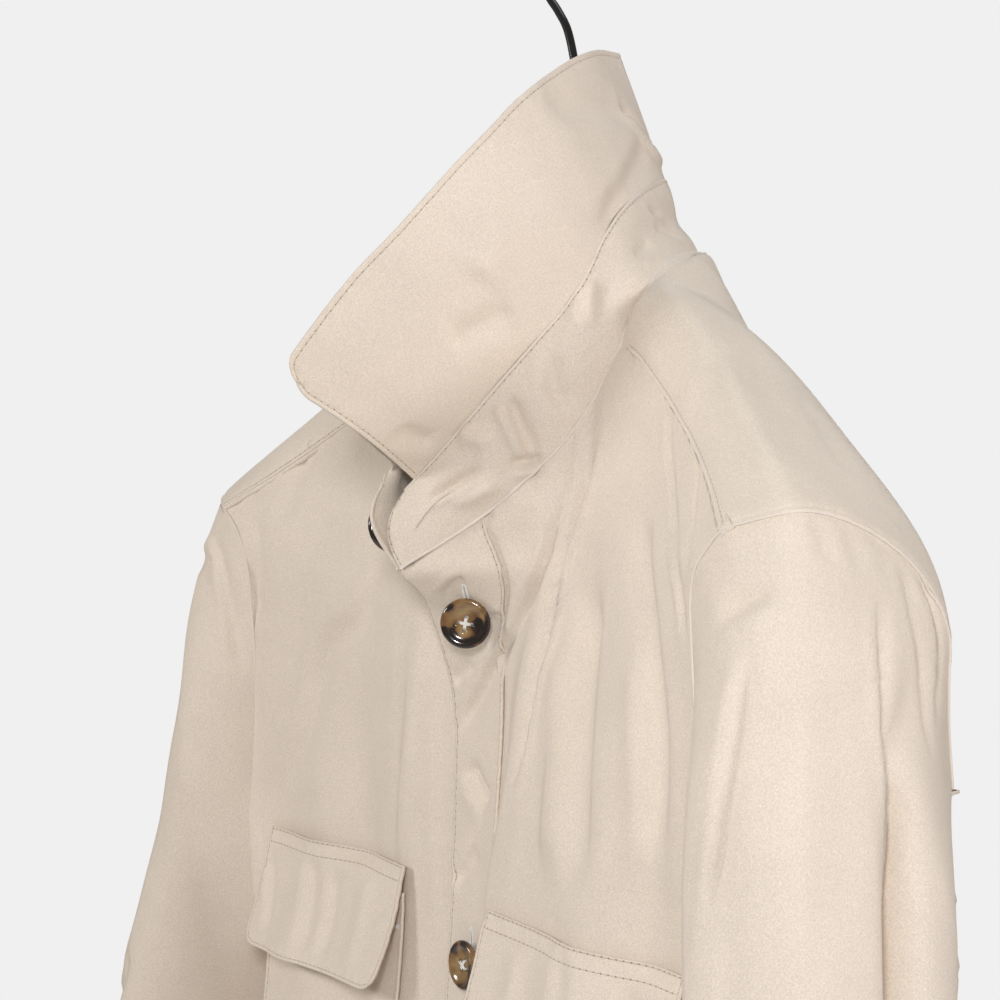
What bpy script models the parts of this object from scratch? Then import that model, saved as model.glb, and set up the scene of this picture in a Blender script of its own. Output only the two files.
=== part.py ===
"""Overshirt hanging on a hanger, with its collar standing up.

The tables and the constants below are in millimetres; the meshes are made in metres.
The origin is the inside top of the hook's crown, where a rail carries the hanger.
+X is the wearer's left, +Y the back, +Z up, so the fronts face -Y.
Every cloth piece is an open surface in two directions u and v, thickened inwards.
"""
from collections import namedtuple

import bmesh
import bpy
import numpy as np
from mathutils import Vector
from mathutils.bvhtree import BVHTree

MM = 0.001
CLOTH = 1.3                # cloth wall
SEAM = 0.5                 # half of the gap between two pieces at a seam
LAYER = 0.3                # gap between a piece and the panel that it lies on
STEP = CLOTH + LAYER       # depth from one layer to the next
PLACKET_WIDTH = 35.0
HEM_Z = -850.0
UNDERARM_Z = -474.0
SLEEVE_END_Z = -780.0
CUFF_HEIGHT = 62.0
BUTTON_RADIUS = 10.25
BUTTON_THICK = 3.4
POCKET_WIDTH = 114.0
POCKET_HEIGHT = 142.0
POCKET_TOP_Z = -404.0
FLAP_WIDTH = 118.0
FLAP_HEIGHT = 52.0
FLAP_TOP_Z = -392.0
FLAP_FLARE = 14.0          # how far its lower edge stands away
FLAP_FALL = {1: 0.05, -1: -0.02}    # slope of each side's pocket and flap, down outwards
POCKET_OUT = 2.9           # outside of a pocket above its front
FLAP_SEAT = 2.6            # outside of a flap above its front along the sewn edge
HOOK_WIRE = 3.5

# Neck seam, half way round from the front end to the nape: where the stand starts.
Rail = namedtuple("Rail", "s x y z")
NECK = [
    Rail(0.00, 1.0, -81.0, -264.0),
    Rail(0.05, 12.0, -75.0, -255.5),
    Rail(0.15, 30.0, -61.0, -241.0),
    Rail(0.26, 48.0, -50.5, -225.0),
    Rail(0.36, 60.0, -40.0, -209.0),
    Rail(0.47, 69.0, -29.0, -186.0),
    Rail(0.55, 73.5, -23.5, -170.0),
    Rail(0.62, 73.0, -15.0, -156.0),
    Rail(0.72, 64.0, 2.0, -143.0),
    Rail(0.83, 46.0, 26.0, -135.5),
    Rail(0.92, 22.0, 51.0, -132.5),
    Rail(1.00, 0.0, 63.0, -132.0),
]
# Crease between the stand and the leaf, on the wearer's left.
STAND_TOP = [
    Rail(0.00, 3.0, -81.0, -231.0),
    Rail(0.05, 12.0, -76.0, -221.5),
    Rail(0.15, 28.0, -70.0, -206.0),
    Rail(0.26, 42.0, -62.5, -190.0),
    Rail(0.36, 54.0, -52.5, -173.0),
    Rail(0.47, 62.0, -41.5, -157.0),
    Rail(0.55, 65.0, -34.0, -144.0),
    Rail(0.62, 64.0, -27.0, -132.0),
    Rail(0.72, 56.0, -10.5, -118.0),
    Rail(0.83, 41.0, 10.0, -109.0),
    Rail(0.92, 20.0, 34.0, -102.5),
    Rail(1.00, 0.0, 50.0, -101.0),
]
# Outer edge of the standing leaf: the left one flares forwards, the right one leans in.
LEAF_LEFT = [
    Rail(0.00, 21.0, -147.0, -188.0),
    Rail(0.05, 26.0, -144.5, -180.0),
    Rail(0.15, 34.0, -139.0, -168.0),
    Rail(0.26, 46.0, -129.0, -150.0),
    Rail(0.36, 57.0, -116.5, -133.0),
    Rail(0.47, 66.0, -100.0, -112.0),
    Rail(0.55, 70.0, -83.0, -94.0),
    Rail(0.62, 67.0, -68.0, -81.0),
    Rail(0.72, 56.0, -47.0, -69.0),
    Rail(0.83, 39.0, -22.0, -58.0),
    Rail(0.92, 19.0, 3.0, -51.0),
    Rail(1.00, 0.0, 26.0, -48.0),
]
LEAF_RIGHT = [
    Rail(0.00, -8.0, -121.0, -189.0),
    Rail(0.05, -8.0, -118.0, -182.0),
    Rail(0.15, -9.0, -110.0, -170.0),
    Rail(0.26, -12.0, -99.0, -154.0),
    Rail(0.36, -16.0, -86.0, -141.0),
    Rail(0.47, -22.0, -70.0, -127.0),
    Rail(0.55, -26.0, -56.0, -114.0),
    Rail(0.62, -29.0, -43.0, -102.0),
    Rail(0.72, -31.0, -22.0, -84.0),
    Rail(0.83, -26.0, -3.0, -68.0),
    Rail(0.92, -14.0, 13.0, -55.0),
    Rail(1.00, 0.0, 26.0, -48.0),
]

# The yoke's sections, from the neck or the front seam over the ridge to the back seam.
Arch = namedtuple("Arch", "u x y z ridge_x ridge_y ridge_z back_x back_y back_z")
YOKE = [
    Arch(0.00, 0.0, 64.0, -132.5, 0.0, 64.5, -133.5, 0.0, 68.0, -232.0),
    Arch(0.12, 23.0, 51.5, -133.0, 23.5, 53.0, -134.0, 25.0, 68.0, -232.5),
    Arch(0.24, 47.0, 26.5, -136.0, 48.0, 28.0, -137.0, 50.0, 67.5, -234.0),
    Arch(0.33, 65.0, 2.5, -143.5, 66.5, 6.0, -145.0, 70.0, 66.0, -236.5),
    Arch(0.385, 74.0, -15.0, -156.0, 76.0, -5.0, -150.5, 84.0, 64.5, -239.0),
    Arch(0.42, 73.5, -23.5, -170.0, 80.0, -8.0, -152.5, 91.0, 63.5, -240.5),
    Arch(0.50, 90.0, -27.5, -181.0, 94.0, -13.0, -158.0, 106.0, 61.5, -244.5),
    Arch(0.60, 111.0, -31.5, -194.5, 115.0, -17.0, -170.0, 126.0, 58.0, -251.0),
    Arch(0.72, 136.0, -39.0, -209.0, 141.0, -24.0, -187.0, 149.0, 53.5, -260.5),
    Arch(0.86, 164.0, -51.5, -225.5, 175.0, -36.0, -209.5, 174.0, 46.5, -274.0),
    Arch(1.00, 191.0, -66.5, -242.0, 213.0, -49.0, -235.5, 196.0, 32.0, -291.0),
]

NECK_PLACE = [1.0, 0.92, 0.83, 0.72, 0.62, 0.55]    # s of the neck seam at the first six

# Depth of the buttoned front at each height, from the right armhole to the left one.
Front = namedtuple("Front", "z r175 r110 r55 r19 mid l19 l50 l110 l175")
FRONT = [
    Front(-171, -52.0, -29.0, -22.0, -30.0, -34.0, -30.0, -20.0, -29.0, -52.0),
    Front(-195, -52.0, -31.5, -31.0, -38.0, -40.0, -38.0, -32.0, -31.5, -52.0),
    Front(-215, -53.0, -36.0, -37.0, -42.0, -43.0, -42.0, -38.0, -36.0, -53.0),
    Front(-240, -60.0, -43.0, -40.0, -43.0, -43.5, -43.0, -40.0, -43.0, -60.0),
    Front(-257, -64.0, -46.0, -42.0, -43.0, -43.0, -43.0, -42.0, -48.0, -66.0),
    Front(-281, -60.0, -49.0, -45.0, -43.0, -43.0, -43.0, -45.0, -53.0, -66.0),
    Front(-320, -55.0, -48.0, -46.0, -44.0, -43.5, -44.0, -57.0, -61.0, -66.0),
    Front(-357, -52.0, -47.0, -46.0, -45.0, -44.5, -46.7, -65.0, -68.0, -65.0),
    Front(-392, -49.0, -46.0, -45.0, -46.0, -46.0, -50.5, -70.5, -71.5, -62.5),
    Front(-450, -53.0, -52.0, -50.0, -50.0, -50.0, -55.5, -72.0, -73.0, -64.0),
    Front(-520, -60.0, -60.0, -59.0, -55.0, -55.0, -57.5, -70.0, -72.0, -66.0),
    Front(-640, -64.0, -67.0, -65.0, -59.0, -58.0, -60.0, -66.0, -69.0, -66.0),
    Front(-850, -62.0, -66.0, -64.0, -60.0, -60.0, -60.0, -63.0, -66.0, -62.0),
]
FRONT_X = [-175.0, -110.0, -55.0, -19.0, 0.0, 19.0, 50.0, 110.0, 175.0]

# Buttons of the left placket: place, and which way each one faces for each 1 forwards.
Seat = namedtuple("Seat", "x z face_x face_z")
FRONT_BUTTONS = [
    Seat(7.0, -283.5, 1.15, -0.15),
    Seat(0.0, -425.0, 0.02, 0.0),
    Seat(0.0, -562.0, 0.02, 0.0),
    Seat(0.0, -699.0, 0.02, 0.0),
]

# The upper corner of the fronts rolls forward with the open stand: how far, and how wide.
Roll = namedtuple("Roll", "z left left_wide right right_wide")
ROLL = [
    Roll(-235, 37.0, 38.0, 37.0, 38.0),
    Roll(-241, 37.0, 36.0, 37.0, 36.0),
    Roll(-257, 36.5, 31.0, 36.0, 25.0),
    Roll(-264, 36.0, 31.0, 33.0, 21.0),
    Roll(-270, 29.5, 31.0, 24.0, 19.0),
    Roll(-281, 18.5, 30.0, 10.0, 17.0),
    Roll(-290, 12.5, 29.0, 4.0, 16.0),
    Roll(-300, 7.5, 26.0, 1.0, 15.0),
    Roll(-312, 3.0, 22.0, 0.0, 15.0),
    Roll(-330, 0.0, 18.0, 0.0, 15.0),
]

# Depth of the back at each height: in the middle, half way out and at the armhole.
Back = namedtuple("Back", "z mid half edge")
BACK = [
    Back(-232, 68.0, 62.5, 44.0),
    Back(-290, 72.0, 67.0, 40.0),
    Back(-340, 74.0, 70.0, 45.5),
    Back(-380, 75.0, 71.5, 50.0),
    Back(-420, 75.5, 73.0, 56.0),
    Back(-470, 76.0, 73.0, 60.0),
    Back(-520, 75.0, 72.0, 62.0),
    Back(-640, 70.0, 69.0, 62.0),
    Back(-850, 64.0, 64.0, 60.0),
]
BACK_X = [0.0, 95.0, 178.0]

# Half width of the fronts and the back: the armhole down to the underarm, then the side seam.
# A front's edge turns to side_y by the share "turn"; the wearer's right hangs a little wider.
Edge = namedtuple("Edge", "z front back side_y corner turn right")
SIDE = [
    Edge(-242, 191.0, 196.0, -10.0, 0.0, 0.0, 0.0),
    Edge(-250, 182.0, 196.0, -10.0, 0.0, 0.0, 0.0),
    Edge(-257, 176.0, 196.0, -10.0, 0.0, 0.0, 0.5),
    Edge(-267, 173.0, 196.0, -10.0, 0.0, 0.0, 1.0),
    Edge(-291, 175.0, 196.0, -10.0, 0.0, 0.0, 2.0),
    Edge(-320, 177.0, 190.0, -10.0, 0.0, 0.0, 4.0),
    Edge(-380, 180.0, 184.0, -10.0, 2.0, 0.0, 9.0),
    Edge(-430, 182.0, 182.0, -10.0, 18.0, 0.4, 11.0),
    Edge(-455, 185.0, 185.0, -10.0, 36.0, 1.0, 12.4),
    Edge(-474, 187.0, 187.0, -10.0, 50.0, 1.0, 14.0),
    Edge(-520, 192.0, 192.0, -5.0, 58.0, 1.0, 13.0),
    Edge(-640, 204.0, 204.0, -2.0, 58.0, 1.0, 8.0),
    Edge(-850, 226.0, 226.0, 0.0, 58.0, 1.0, 0.0),
]

# Long soft folds: depth is positive where the cloth stands out.
Fold = namedtuple("Fold", "x_top z_top x_low z_low width depth")
FRONT_FOLDS = [
    Fold(58, -215, 42, -330, 9, 3.5),
    Fold(84, -230, 70, -400, 12, -3.0),
    Fold(118, -245, 112, -520, 16, 3.5),
    Fold(150, -300, 152, -620, 12, -3.5),
    Fold(40, -430, 44, -850, 15, 5.5),
    Fold(86, -500, 92, -850, 15, -6.0),
    Fold(132, -480, 140, -850, 17, 6.5),
    Fold(180, -560, 186, -850, 12, -5.0),
    Fold(-62, -240, -44, -440, 15, 3.0),
    Fold(-98, -270, -86, -520, 17, -4.0),
    Fold(-132, -300, -128, -560, 17, 3.5),
    Fold(-50, -470, -48, -850, 16, 5.0),
    Fold(-92, -520, -96, -850, 16, -6.0),
    Fold(-140, -500, -144, -850, 16, 6.0),
    Fold(-184, -560, -190, -850, 12, -5.0),
    Fold(-190, -335, -200, -600, 13, 8.0),
]
BACK_FOLDS = [
    Fold(0, -250, 4, -850, 20, 6.5),
    Fold(36, -300, 42, -850, 16, -7.0),
    Fold(78, -260, 84, -850, 17, 6.5),
    Fold(118, -330, 130, -850, 16, -7.5),
    Fold(152, -300, 172, -850, 15, 6.0),
    Fold(-40, -290, -40, -850, 16, -6.5),
    Fold(-82, -260, -88, -850, 18, 7.0),
    Fold(-122, -320, -132, -850, 15, -7.0),
    Fold(-156, -320, -176, -850, 14, 6.0),
]

# The sleeve hangs as a flattened tube: its centre line and half widths, and how far
# the right one hangs outwards and back from where the left one is.
Ring = namedtuple("Ring", "z x y half_x half_y out_x out_y")
SLEEVE = [
    Ring(-236, 205.0, -27.0, 27.0, 52.0, 0.0, 3.0),
    Ring(-300, 201.0, -32.0, 29.0, 54.0, 2.0, 8.0),
    Ring(-384, 211.0, -38.0, 29.0, 54.5, 11.5, 9.0),
    Ring(-480, 221.0, -44.5, 28.5, 54.0, 23.0, 1.0),
    Ring(-620, 235.0, -55.0, 26.0, 51.0, 24.0, 0.0),
    Ring(-740, 247.0, -64.0, 24.0, 48.0, 20.0, 0.0),
    Ring(-842, 257.0, -71.0, 22.0, 46.0, 18.0, 0.0),
]
# Folds along the sleeve: place round the ring (0 underarm, 0.25 front, 0.5 outside).
Groove = namedtuple("Groove", "turn z_top z_low width depth")
SLEEVE_GROOVES = [
    Groove(0.605, -262, -800, 5.0, -17.0),
    Groove(0.38, -300, -700, 12.0, -3.5),
    Groove(0.47, -250, -640, 15.0, 3.0),
    Groove(0.045, -490, -790, 7.0, -13.0),
    Groove(0.78, -330, -760, 12.0, -4.0),
]

# The hanger's arm under the shoulder, from the middle to the tip.
Arm = namedtuple("Arm", "x y top thick_y thick_z")
HANGER = [
    Arm(0.0, 0.0, -118.0, 14.0, 34.0),
    Arm(30.0, 1.0, -125.0, 14.0, 32.0),
    Arm(60.0, 0.0, -147.5, 13.0, 30.0),
    Arm(80.0, -5.0, -160.0, 13.0, 29.0),
    Arm(115.0, -17.0, -173.9, 15.0, 27.0),
    Arm(141.0, -24.0, -190.1, 16.0, 25.0),
    Arm(175.0, -36.0, -212.9, 18.0, 23.0),
    Arm(200.0, -44.5, -230.0, 18.0, 20.0),
]
Point = namedtuple("Point", "x z")
HOOK = [
    Point(5.0, -118.1), Point(5.0, -80.0), Point(5.0, -64.0), Point(3.1, -53.0),
    Point(-1.8, -40.0), Point(-9.0, -31.0), Point(-15.8, -24.0), Point(-19.0, -16.0),
    Point(-17.0, -8.0), Point(-10.5, -1.2), Point(0.0, 1.75), Point(10.5, -1.2),
    Point(17.0, -8.0), Point(19.5, -17.0), Point(18.5, -25.0),
]

COLOURS = {
    "cloth": ((0.72, 0.61, 0.48), 0.75, 0.0),
    "button": ((0.10, 0.055, 0.03), 0.25, 0.0),
    "hanger": ((0.02, 0.02, 0.02), 0.45, 0.0),
    "wire": ((0.012, 0.012, 0.013), 0.35, 0.0),
}


# Columns and rows of the panels, shared so that neighbours meet corner to corner.
FRONT_START = 24.5
FRONT_TOP_X = [24.5, 30.0, 39.0, 48.0, 60.0, 69.0, 73.5, 90.0, 111.0, 136.0, 150.0, 164.0,
               178.0, 191.0]
SHOULDER_U = [0.50, 0.60, 0.66, 0.72, 0.79, 0.86, 0.93, 1.0]
STAND_S = [0.0, 0.02, 0.05, 0.10, 0.15, 0.205, 0.26, 0.36, 0.47, 0.55, 0.585, 0.62,
           0.67, 0.72, 0.775, 0.83, 0.875, 0.92, 0.96, 1.0]
FRONT_ROWS = np.linspace(0.0, 1.0, 20) ** 1.3
YOKE_ROWS = np.linspace(0.0, 1.0, 10)
BACK_ROWS = np.linspace(0.0, 1.0, 14)


# ---------------------------------------------------------------- curves and tables

def curve(xs, ys, x):
    """Smooth line through a table, with no overshoot between its rows."""
    xs = np.asarray(xs, float)
    ys = np.asarray(ys, float)
    x = np.clip(np.asarray(x, float), xs[0], xs[-1])
    h = np.diff(xs)
    d = np.diff(ys) / h
    m = np.zeros(len(xs))
    m[0] = d[0]
    m[-1] = d[-1]
    for i in range(1, len(xs) - 1):
        if d[i - 1] * d[i] > 0:
            w1 = 2 * h[i] + h[i - 1]
            w2 = h[i] + 2 * h[i - 1]
            m[i] = (w1 + w2) / (w1 / d[i - 1] + w2 / d[i])
    i = np.clip(np.searchsorted(xs, x, side="right") - 1, 0, len(xs) - 2)
    t = (x - xs[i]) / h[i]
    a = (1 + 2 * t) * (1 - t) ** 2
    b = t * (1 - t) ** 2
    c = t * t * (3 - 2 * t)
    e = t * t * (t - 1)
    return a * ys[i] + b * h[i] * m[i] + c * ys[i + 1] + e * h[i] * m[i + 1]


def column(rows, key, name, x):
    """Value of one named column of a table at key = x."""
    ordered = sorted(rows, key=lambda row: getattr(row, key))
    keys = [getattr(row, key) for row in ordered]
    values = [getattr(row, name) for row in ordered]
    return curve(keys, values, x)


def rail(rows, s):
    return np.array([column(rows, "s", axis, s) for axis in ("x", "y", "z")])


def smooth(t):
    t = np.clip(t, 0.0, 1.0)
    return t * t * (3.0 - 2.0 * t)


def folds(rows, x, z):
    """How far the folds of a table push the cloth out at (x, z)."""
    out = 0.0
    for f in rows:
        t = (f.z_top - z) / (f.z_top - f.z_low)
        if t <= 0.0:
            continue
        line = f.x_top + (f.x_low - f.x_top) * min(t, 1.0)
        fade = smooth(t / 0.35)
        if f.z_low > HEM_Z:
            fade = fade * smooth((1.0 - t) / 0.35)
        out += f.depth * fade * np.exp(-((x - line) / f.width) ** 2)
    return out


# ---------------------------------------------------------------- the body

def front_top(x):
    """Upper edge of a front: the neck seam, then the yoke's front seam."""
    x = abs(x)
    if x <= NECK[6].x:
        half = NECK[:7]
        return float(curve([r.x for r in half], [r.z for r in half], x))
    rows = YOKE[5:]
    return float(curve([r.x for r in rows], [r.z for r in rows], x))


def front_top_depth(x):
    """y of the same edge."""
    x = abs(x)
    if x <= NECK[6].x:
        half = NECK[:7]
        return float(curve([r.x for r in half], [r.y for r in half], x))
    rows = YOKE[5:]
    return float(curve([r.x for r in rows], [r.y for r in rows], x))


def placket_edge(z):
    """x of the free edge of the left placket."""
    return float(curve([-310, -300, -290, -281, -270, -262],
                       [-18.5, -17.5, -15.5, -12.0, -4.5, 1.0], z))


def placket_seam(z):
    """x of the seam between the left placket and its front."""
    return placket_edge(z) + PLACKET_WIDTH - 6.0 * float(smooth((z + 275.0) / 30.0))


def roll(x, z, side):
    """How far the upper corner of the front comes forward at (x, z)."""
    if side > 0:
        away = max(x - placket_edge(z), 0.0)
        name = "left"
    else:
        away = abs(min(x, 0.0))
        name = "right"
    reach = float(column(ROLL, "z", name, z))
    wide = float(column(ROLL, "z", name + "_wide", z))
    return reach * np.exp(-(away / wide) ** 2)


def front_plain(x, z, side):
    across = [float(column(FRONT, "z", name, z)) for name in Front._fields[1:]]
    edge = max(abs(x) - 175.0, 0.0)
    y = float(curve(FRONT_X, across, x)) - 0.22 * edge * smooth((z + 300.0) / 40.0)
    return y - roll(x, z, side) - folds(FRONT_FOLDS, x, z)


def front_depth(x, z, side=0):
    """y of the outside of the buttoned front, drawn onto the seam along its top."""
    side = side or (1 if x > 0 else -1)
    top = front_top(max(abs(x), 1.0))
    below = top - z
    y = front_plain(x, z, side)
    if below < 30.0:
        at_top = front_plain(x, top, side)
        y += (front_top_depth(max(abs(x), 1.0)) - at_top) * (1.0 - smooth(below / 30.0))
    return y


def under(x, z):
    """1 well below the neck seam and 0 on it, where the two fronts part."""
    return float(smooth((front_top(max(abs(x), 1.0)) - z) / 22.0))


def tuck(x, z, side):
    """How deep a front lies under the placket in front of it."""
    deep = STEP * (1.0 + 0.8 * smooth((z + 325.0) / 30.0))
    if side < 0:
        deep += 1.2 * smooth((z + 312.0) / 20.0)
    if side > 0:
        return deep * (1.0 - smooth((x - placket_seam(z) - 1.0) / 12.0))
    deep = deep + 2 * STEP * under(x, z)
    return deep * (1.0 - smooth((abs(x) - 32.0) / 30.0))


def back_depth(x, z):
    across = [column(BACK, "z", name, z) for name in Back._fields[1:]]
    edge = max(abs(x) - 178.0, 0.0)
    y = curve(BACK_X, across, abs(x)) - 0.45 * edge * smooth((z + 420.0) / 60.0)
    return y + folds(BACK_FOLDS, x, z)


def half_width(z, name, side):
    """Half width of the fronts or the back at height z, on one side."""
    wider = float(column(SIDE, "z", "right", z)) if side < 0 else 0.0
    return float(column(SIDE, "z", name, z)) + wider


def round_side(u, z, half, depth, turn=1.0):
    """Point of a half section: flat in the middle, rounded to the side seam."""
    r = float(column(SIDE, "z", "corner", z))
    side_y = float(column(SIDE, "z", "side_y", z))
    flat = half - r
    run = flat + 1.5 * r
    s = abs(u) * run
    sign = -1.0 if u < 0 else 1.0
    if s <= flat or r < 0.5:
        x = min(s, half)
        return np.array([sign * x, depth(sign * x, z), z])
    a = (s - flat) / (1.5 * r) * np.pi / 2
    x = flat + r * np.sin(a)
    y = depth(sign * x, z)
    return np.array([sign * x, y + (side_y - y) * turn * (1.0 - np.cos(a)), z])


def row_z(x_top, v):
    """Height of row v in a column of the front that starts at x_top."""
    z_top = front_top(x_top)
    return z_top + (HEM_Z - z_top) * v ** 1.25


def front_start(z, side):
    """Distance from the middle at which a front starts, 5 mm under its placket."""
    if side > 0:
        return placket_seam(z) - 5.0
    return 16.0 + 8.5 * float(smooth((z + 275.0) / 30.0))


def front_panel(side):
    """Surface of one front; side is +1 for the wearer's left and -1 for the right."""

    def depth(x, z):
        return front_depth(x, z, side) + tuck(x, z, side)

    def surface(u, v):
        z = row_z(FRONT_START + (191.0 - FRONT_START) * u, v)
        half = half_width(z, "front", side)
        r = float(column(SIDE, "z", "corner", z))
        run = half + 0.5 * r
        start = front_start(z, side)
        arc = (start + (run - start) * u) / run
        return round_side(side * arc, z, half, depth, float(column(SIDE, "z", "turn", z)))

    return surface


def back_panel(u, v):
    """Surface of the back, drawn onto the yoke's back seam; u runs from -1 to 1."""
    a = min(abs(u), 1.0)
    sign = -1.0 if u < 0 else 1.0
    seam = np.array([float(column(YOKE, "u", name, a)) for name in ("back_x", "back_y", "back_z")])
    seam[0] = sign * seam[0]
    z = seam[2] + (HEM_Z - seam[2]) * v ** 1.2
    p = round_side(u, z, half_width(z, "back", sign), back_depth)
    top = round_side(u, seam[2], half_width(seam[2], "back", sign), back_depth)
    return p + (seam - top) * (1.0 - smooth((seam[2] - z) / 50.0))


def yoke_columns():
    """The yoke's columns: at the stand's own corners round the neck, then outwards."""
    u = np.linspace(0.0, YOKE[5].u, 400)
    s = curve([row.u for row in YOKE[:6]], NECK_PLACE, u)
    neck = [float(np.interp(-k, -s, u)) for k in STAND_S[::-1] if k >= 0.55]
    return neck + SHOULDER_U


def yoke(u, v):
    """Surface of the yoke; u from -1 to 1 across, v from the front or neck to the back."""
    a = min(abs(u), 1.0)
    row = {name: float(column(YOKE, "u", name, a)) for name in Arch._fields[1:]}
    sign = -1.0 if u < 0 else 1.0
    if a <= YOKE[5].u:
        s = curve([r.u for r in YOKE[:6]], NECK_PLACE, a)
        row["x"], row["y"], row["z"] = rail(NECK, float(s))
    front = np.hypot(row["ridge_y"] - row["y"], row["ridge_z"] - row["z"])
    back = 1.15 * np.hypot(row["back_y"] - row["ridge_y"], row["back_z"] - row["ridge_z"])
    split = front / (front + back)
    if v < split:
        t = v / split
        lift = np.sin(t * np.pi / 2)
        x = row["x"] + (row["ridge_x"] - row["x"]) * lift
        y = row["y"] + (row["ridge_y"] - row["y"]) * t ** 1.25
        z = row["z"] + (row["ridge_z"] - row["z"]) * lift
    else:
        t = (v - split) / (1.0 - split)
        power = 1.7
        a = t * np.pi / 2
        across = np.sin(a) ** (2.0 / power)
        drop = 1.0 - np.cos(a) ** (2.0 / power)
        x = row["ridge_x"] + (row["back_x"] - row["ridge_x"]) * t
        y = row["ridge_y"] + (row["back_y"] - row["ridge_y"]) * across
        z = row["ridge_z"] + (row["back_z"] - row["ridge_z"]) * drop
    return np.array([sign * x, y, z])


# ---------------------------------------------------------------- sleeves

def armhole(side):
    """Corners once round an armhole: up the front, over the yoke, down the back."""
    front = front_panel(side)
    up = [front(1.0, v) for v in FRONT_ROWS[1:]]
    up = [p for p in up if p[2] > UNDERARM_Z + 8.0][::-1]
    over = [yoke(side, v) for v in YOKE_ROWS]
    down = [back_panel(side, v) for v in BACK_ROWS[1:]]
    down = [p for p in down if p[2] > UNDERARM_Z + 8.0]
    half = half_width(UNDERARM_Z, "front", side)
    under_arm = round_side(side, UNDERARM_Z, half, front_depth)
    points = np.array([under_arm] + up + over + down + [under_arm])
    run = np.concatenate([[0.0], np.cumsum(np.linalg.norm(np.diff(points, axis=0), axis=1))])
    return points, run / run[-1]


def around_armhole(side):
    """The armhole's corners, with more steps at the sleeve's deep folds."""
    run = list(armhole(side)[1][:-1])
    for g in SLEEVE_GROOVES:
        if abs(g.depth) > 10.0:
            run += [g.turn + step for step in (-0.034, -0.017, 0.0, 0.017, 0.034)]
    run = sorted(run)
    keep = [run[0]]
    for t in run[1:]:
        if t - keep[-1] > 0.010:
            keep.append(t)
    return keep


def ring_point(turn, z, side):
    """Point of the sleeve's flattened ring, with its folds."""
    row = {name: float(column(SLEEVE, "z", name, z)) for name in Ring._fields[1:]}
    if side < 0:
        row["x"] += row["out_x"]
        row["y"] += row["out_y"]
    a = np.pi - 0.42 + 2 * np.pi * turn
    c, s = np.cos(a), np.sin(a)
    x = row["x"] + row["half_x"] * np.sign(c) * abs(c) ** 0.85
    y = row["y"] + row["half_y"] * s
    push = 0.0
    for g in SLEEVE_GROOVES:
        away = (turn - g.turn + 0.5) % 1.0 - 0.5
        t = (g.z_top - z) / (g.z_top - g.z_low)
        fade = smooth(t / 0.25) * smooth((1.0 - t) / 0.2)
        push += g.depth * fade * np.exp(-(abs(away) * 264.0 / g.width) ** 1.5)
    n = np.array([c / row["half_x"], s / row["half_y"]])
    n = n / np.linalg.norm(n)
    return np.array([side * (x + push * n[0]), y + push * n[1]])


def sleeve(side):
    """Surface of a sleeve; u once round from the underarm, v from armhole to cuff."""
    points, run = armhole(side)

    def surface(u, v):
        start = np.array([np.interp(u, run, points[:, i]) for i in range(3)])
        z = start[2] + (SLEEVE_END_Z - start[2]) * v ** 1.35
        fall = (start[2] - z) / 46.0
        mix = np.sin(min(fall, 1.0) * np.pi / 2) ** 0.9
        ring = ring_point(u, z, side)
        x = start[0] + (ring[0] - start[0]) * mix
        y = start[1] + (ring[1] - start[1]) * mix
        return np.array([x, y, z])

    return surface


def cuff(side):
    def surface(u, v):
        z = SLEEVE_END_Z - CUFF_HEIGHT * v
        p = ring_point(u, min(z, -801.0), side)
        return np.array([p[0], p[1], z])
    return surface


# ---------------------------------------------------------------- collar, placket, pockets

def stand(u, v):
    """Collar stand; u from -1 at the right end to 1 at the left end."""
    s = 1.0 - abs(u)
    low, top = rail(NECK, s), rail(STAND_TOP, s)
    end = smooth((abs(u) - 0.93) / 0.07)
    p = low + (top - low) * v
    out = np.array([p[0], p[1] * 0.6, 0.0])
    out = out / max(np.linalg.norm(out), 1.0)
    bow = np.sin(np.pi * v)
    p = p + out * 3.0 * bow * (1.0 - end)
    p = p + end * bow * np.array([-4.0, -5.0, 0.0]) + end * (1.0 - v) * np.array([0.0, -1.2, 1.2])
    if u < 0:
        apart = smooth((abs(u) - 0.86) / 0.14)
        p = p * np.array([-1.0, 1.0, 1.0])
        p = p + apart * np.array([-4.0 - 3.0 * bow, -4.0 - 3.0 * bow, 1.0 + 3.0 * v])
    return p


def leaf(u, v):
    """Collar leaf; u from -1 at the right point to 1 at the left point."""
    s = 1.0 - abs(u)
    low = stand(u, 1.0)
    top = rail(LEAF_RIGHT if u < 0 else LEAF_LEFT, s)
    corner = smooth((abs(u) - 0.95) / 0.05)
    reach = v * (1.0 - 0.07 * corner * v)
    p = low + (top - low) * reach
    out = np.array([np.sign(u) * (0.5 + 0.5 * abs(u)), 0.3, 0.0])
    return p + out * 5.0 * np.sin(np.pi * v) * min(abs(u) * 3.0, 1.0)


def placket(side):
    """Strip down the centre; the left one lies outside the right one."""

    def left(u, v):
        z = row_z(1.0 + 28.0 * u, v)
        x = placket_edge(z) + (placket_seam(z) - placket_edge(z)) * u
        return np.array([x, front_depth(x, z, 1), z])

    def right(u, v):
        z = row_z(2.0 + 26.0 * u, v)
        inner = -21.0 - 8.0 * smooth((z + 275.0) / 30.0)
        free = curve([-325, -306, -290, -275, -262], [14.0, -11.0, -11.0, -8.0, -2.0], z)
        x = inner + (float(free) - inner) * (1.0 - u)
        y = front_depth(x, z, -1) if x < 0 else front_depth(x, z, 1)
        return np.array([x, y + 2 * STEP * under(x, z), z])

    return left if side > 0 else right


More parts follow.
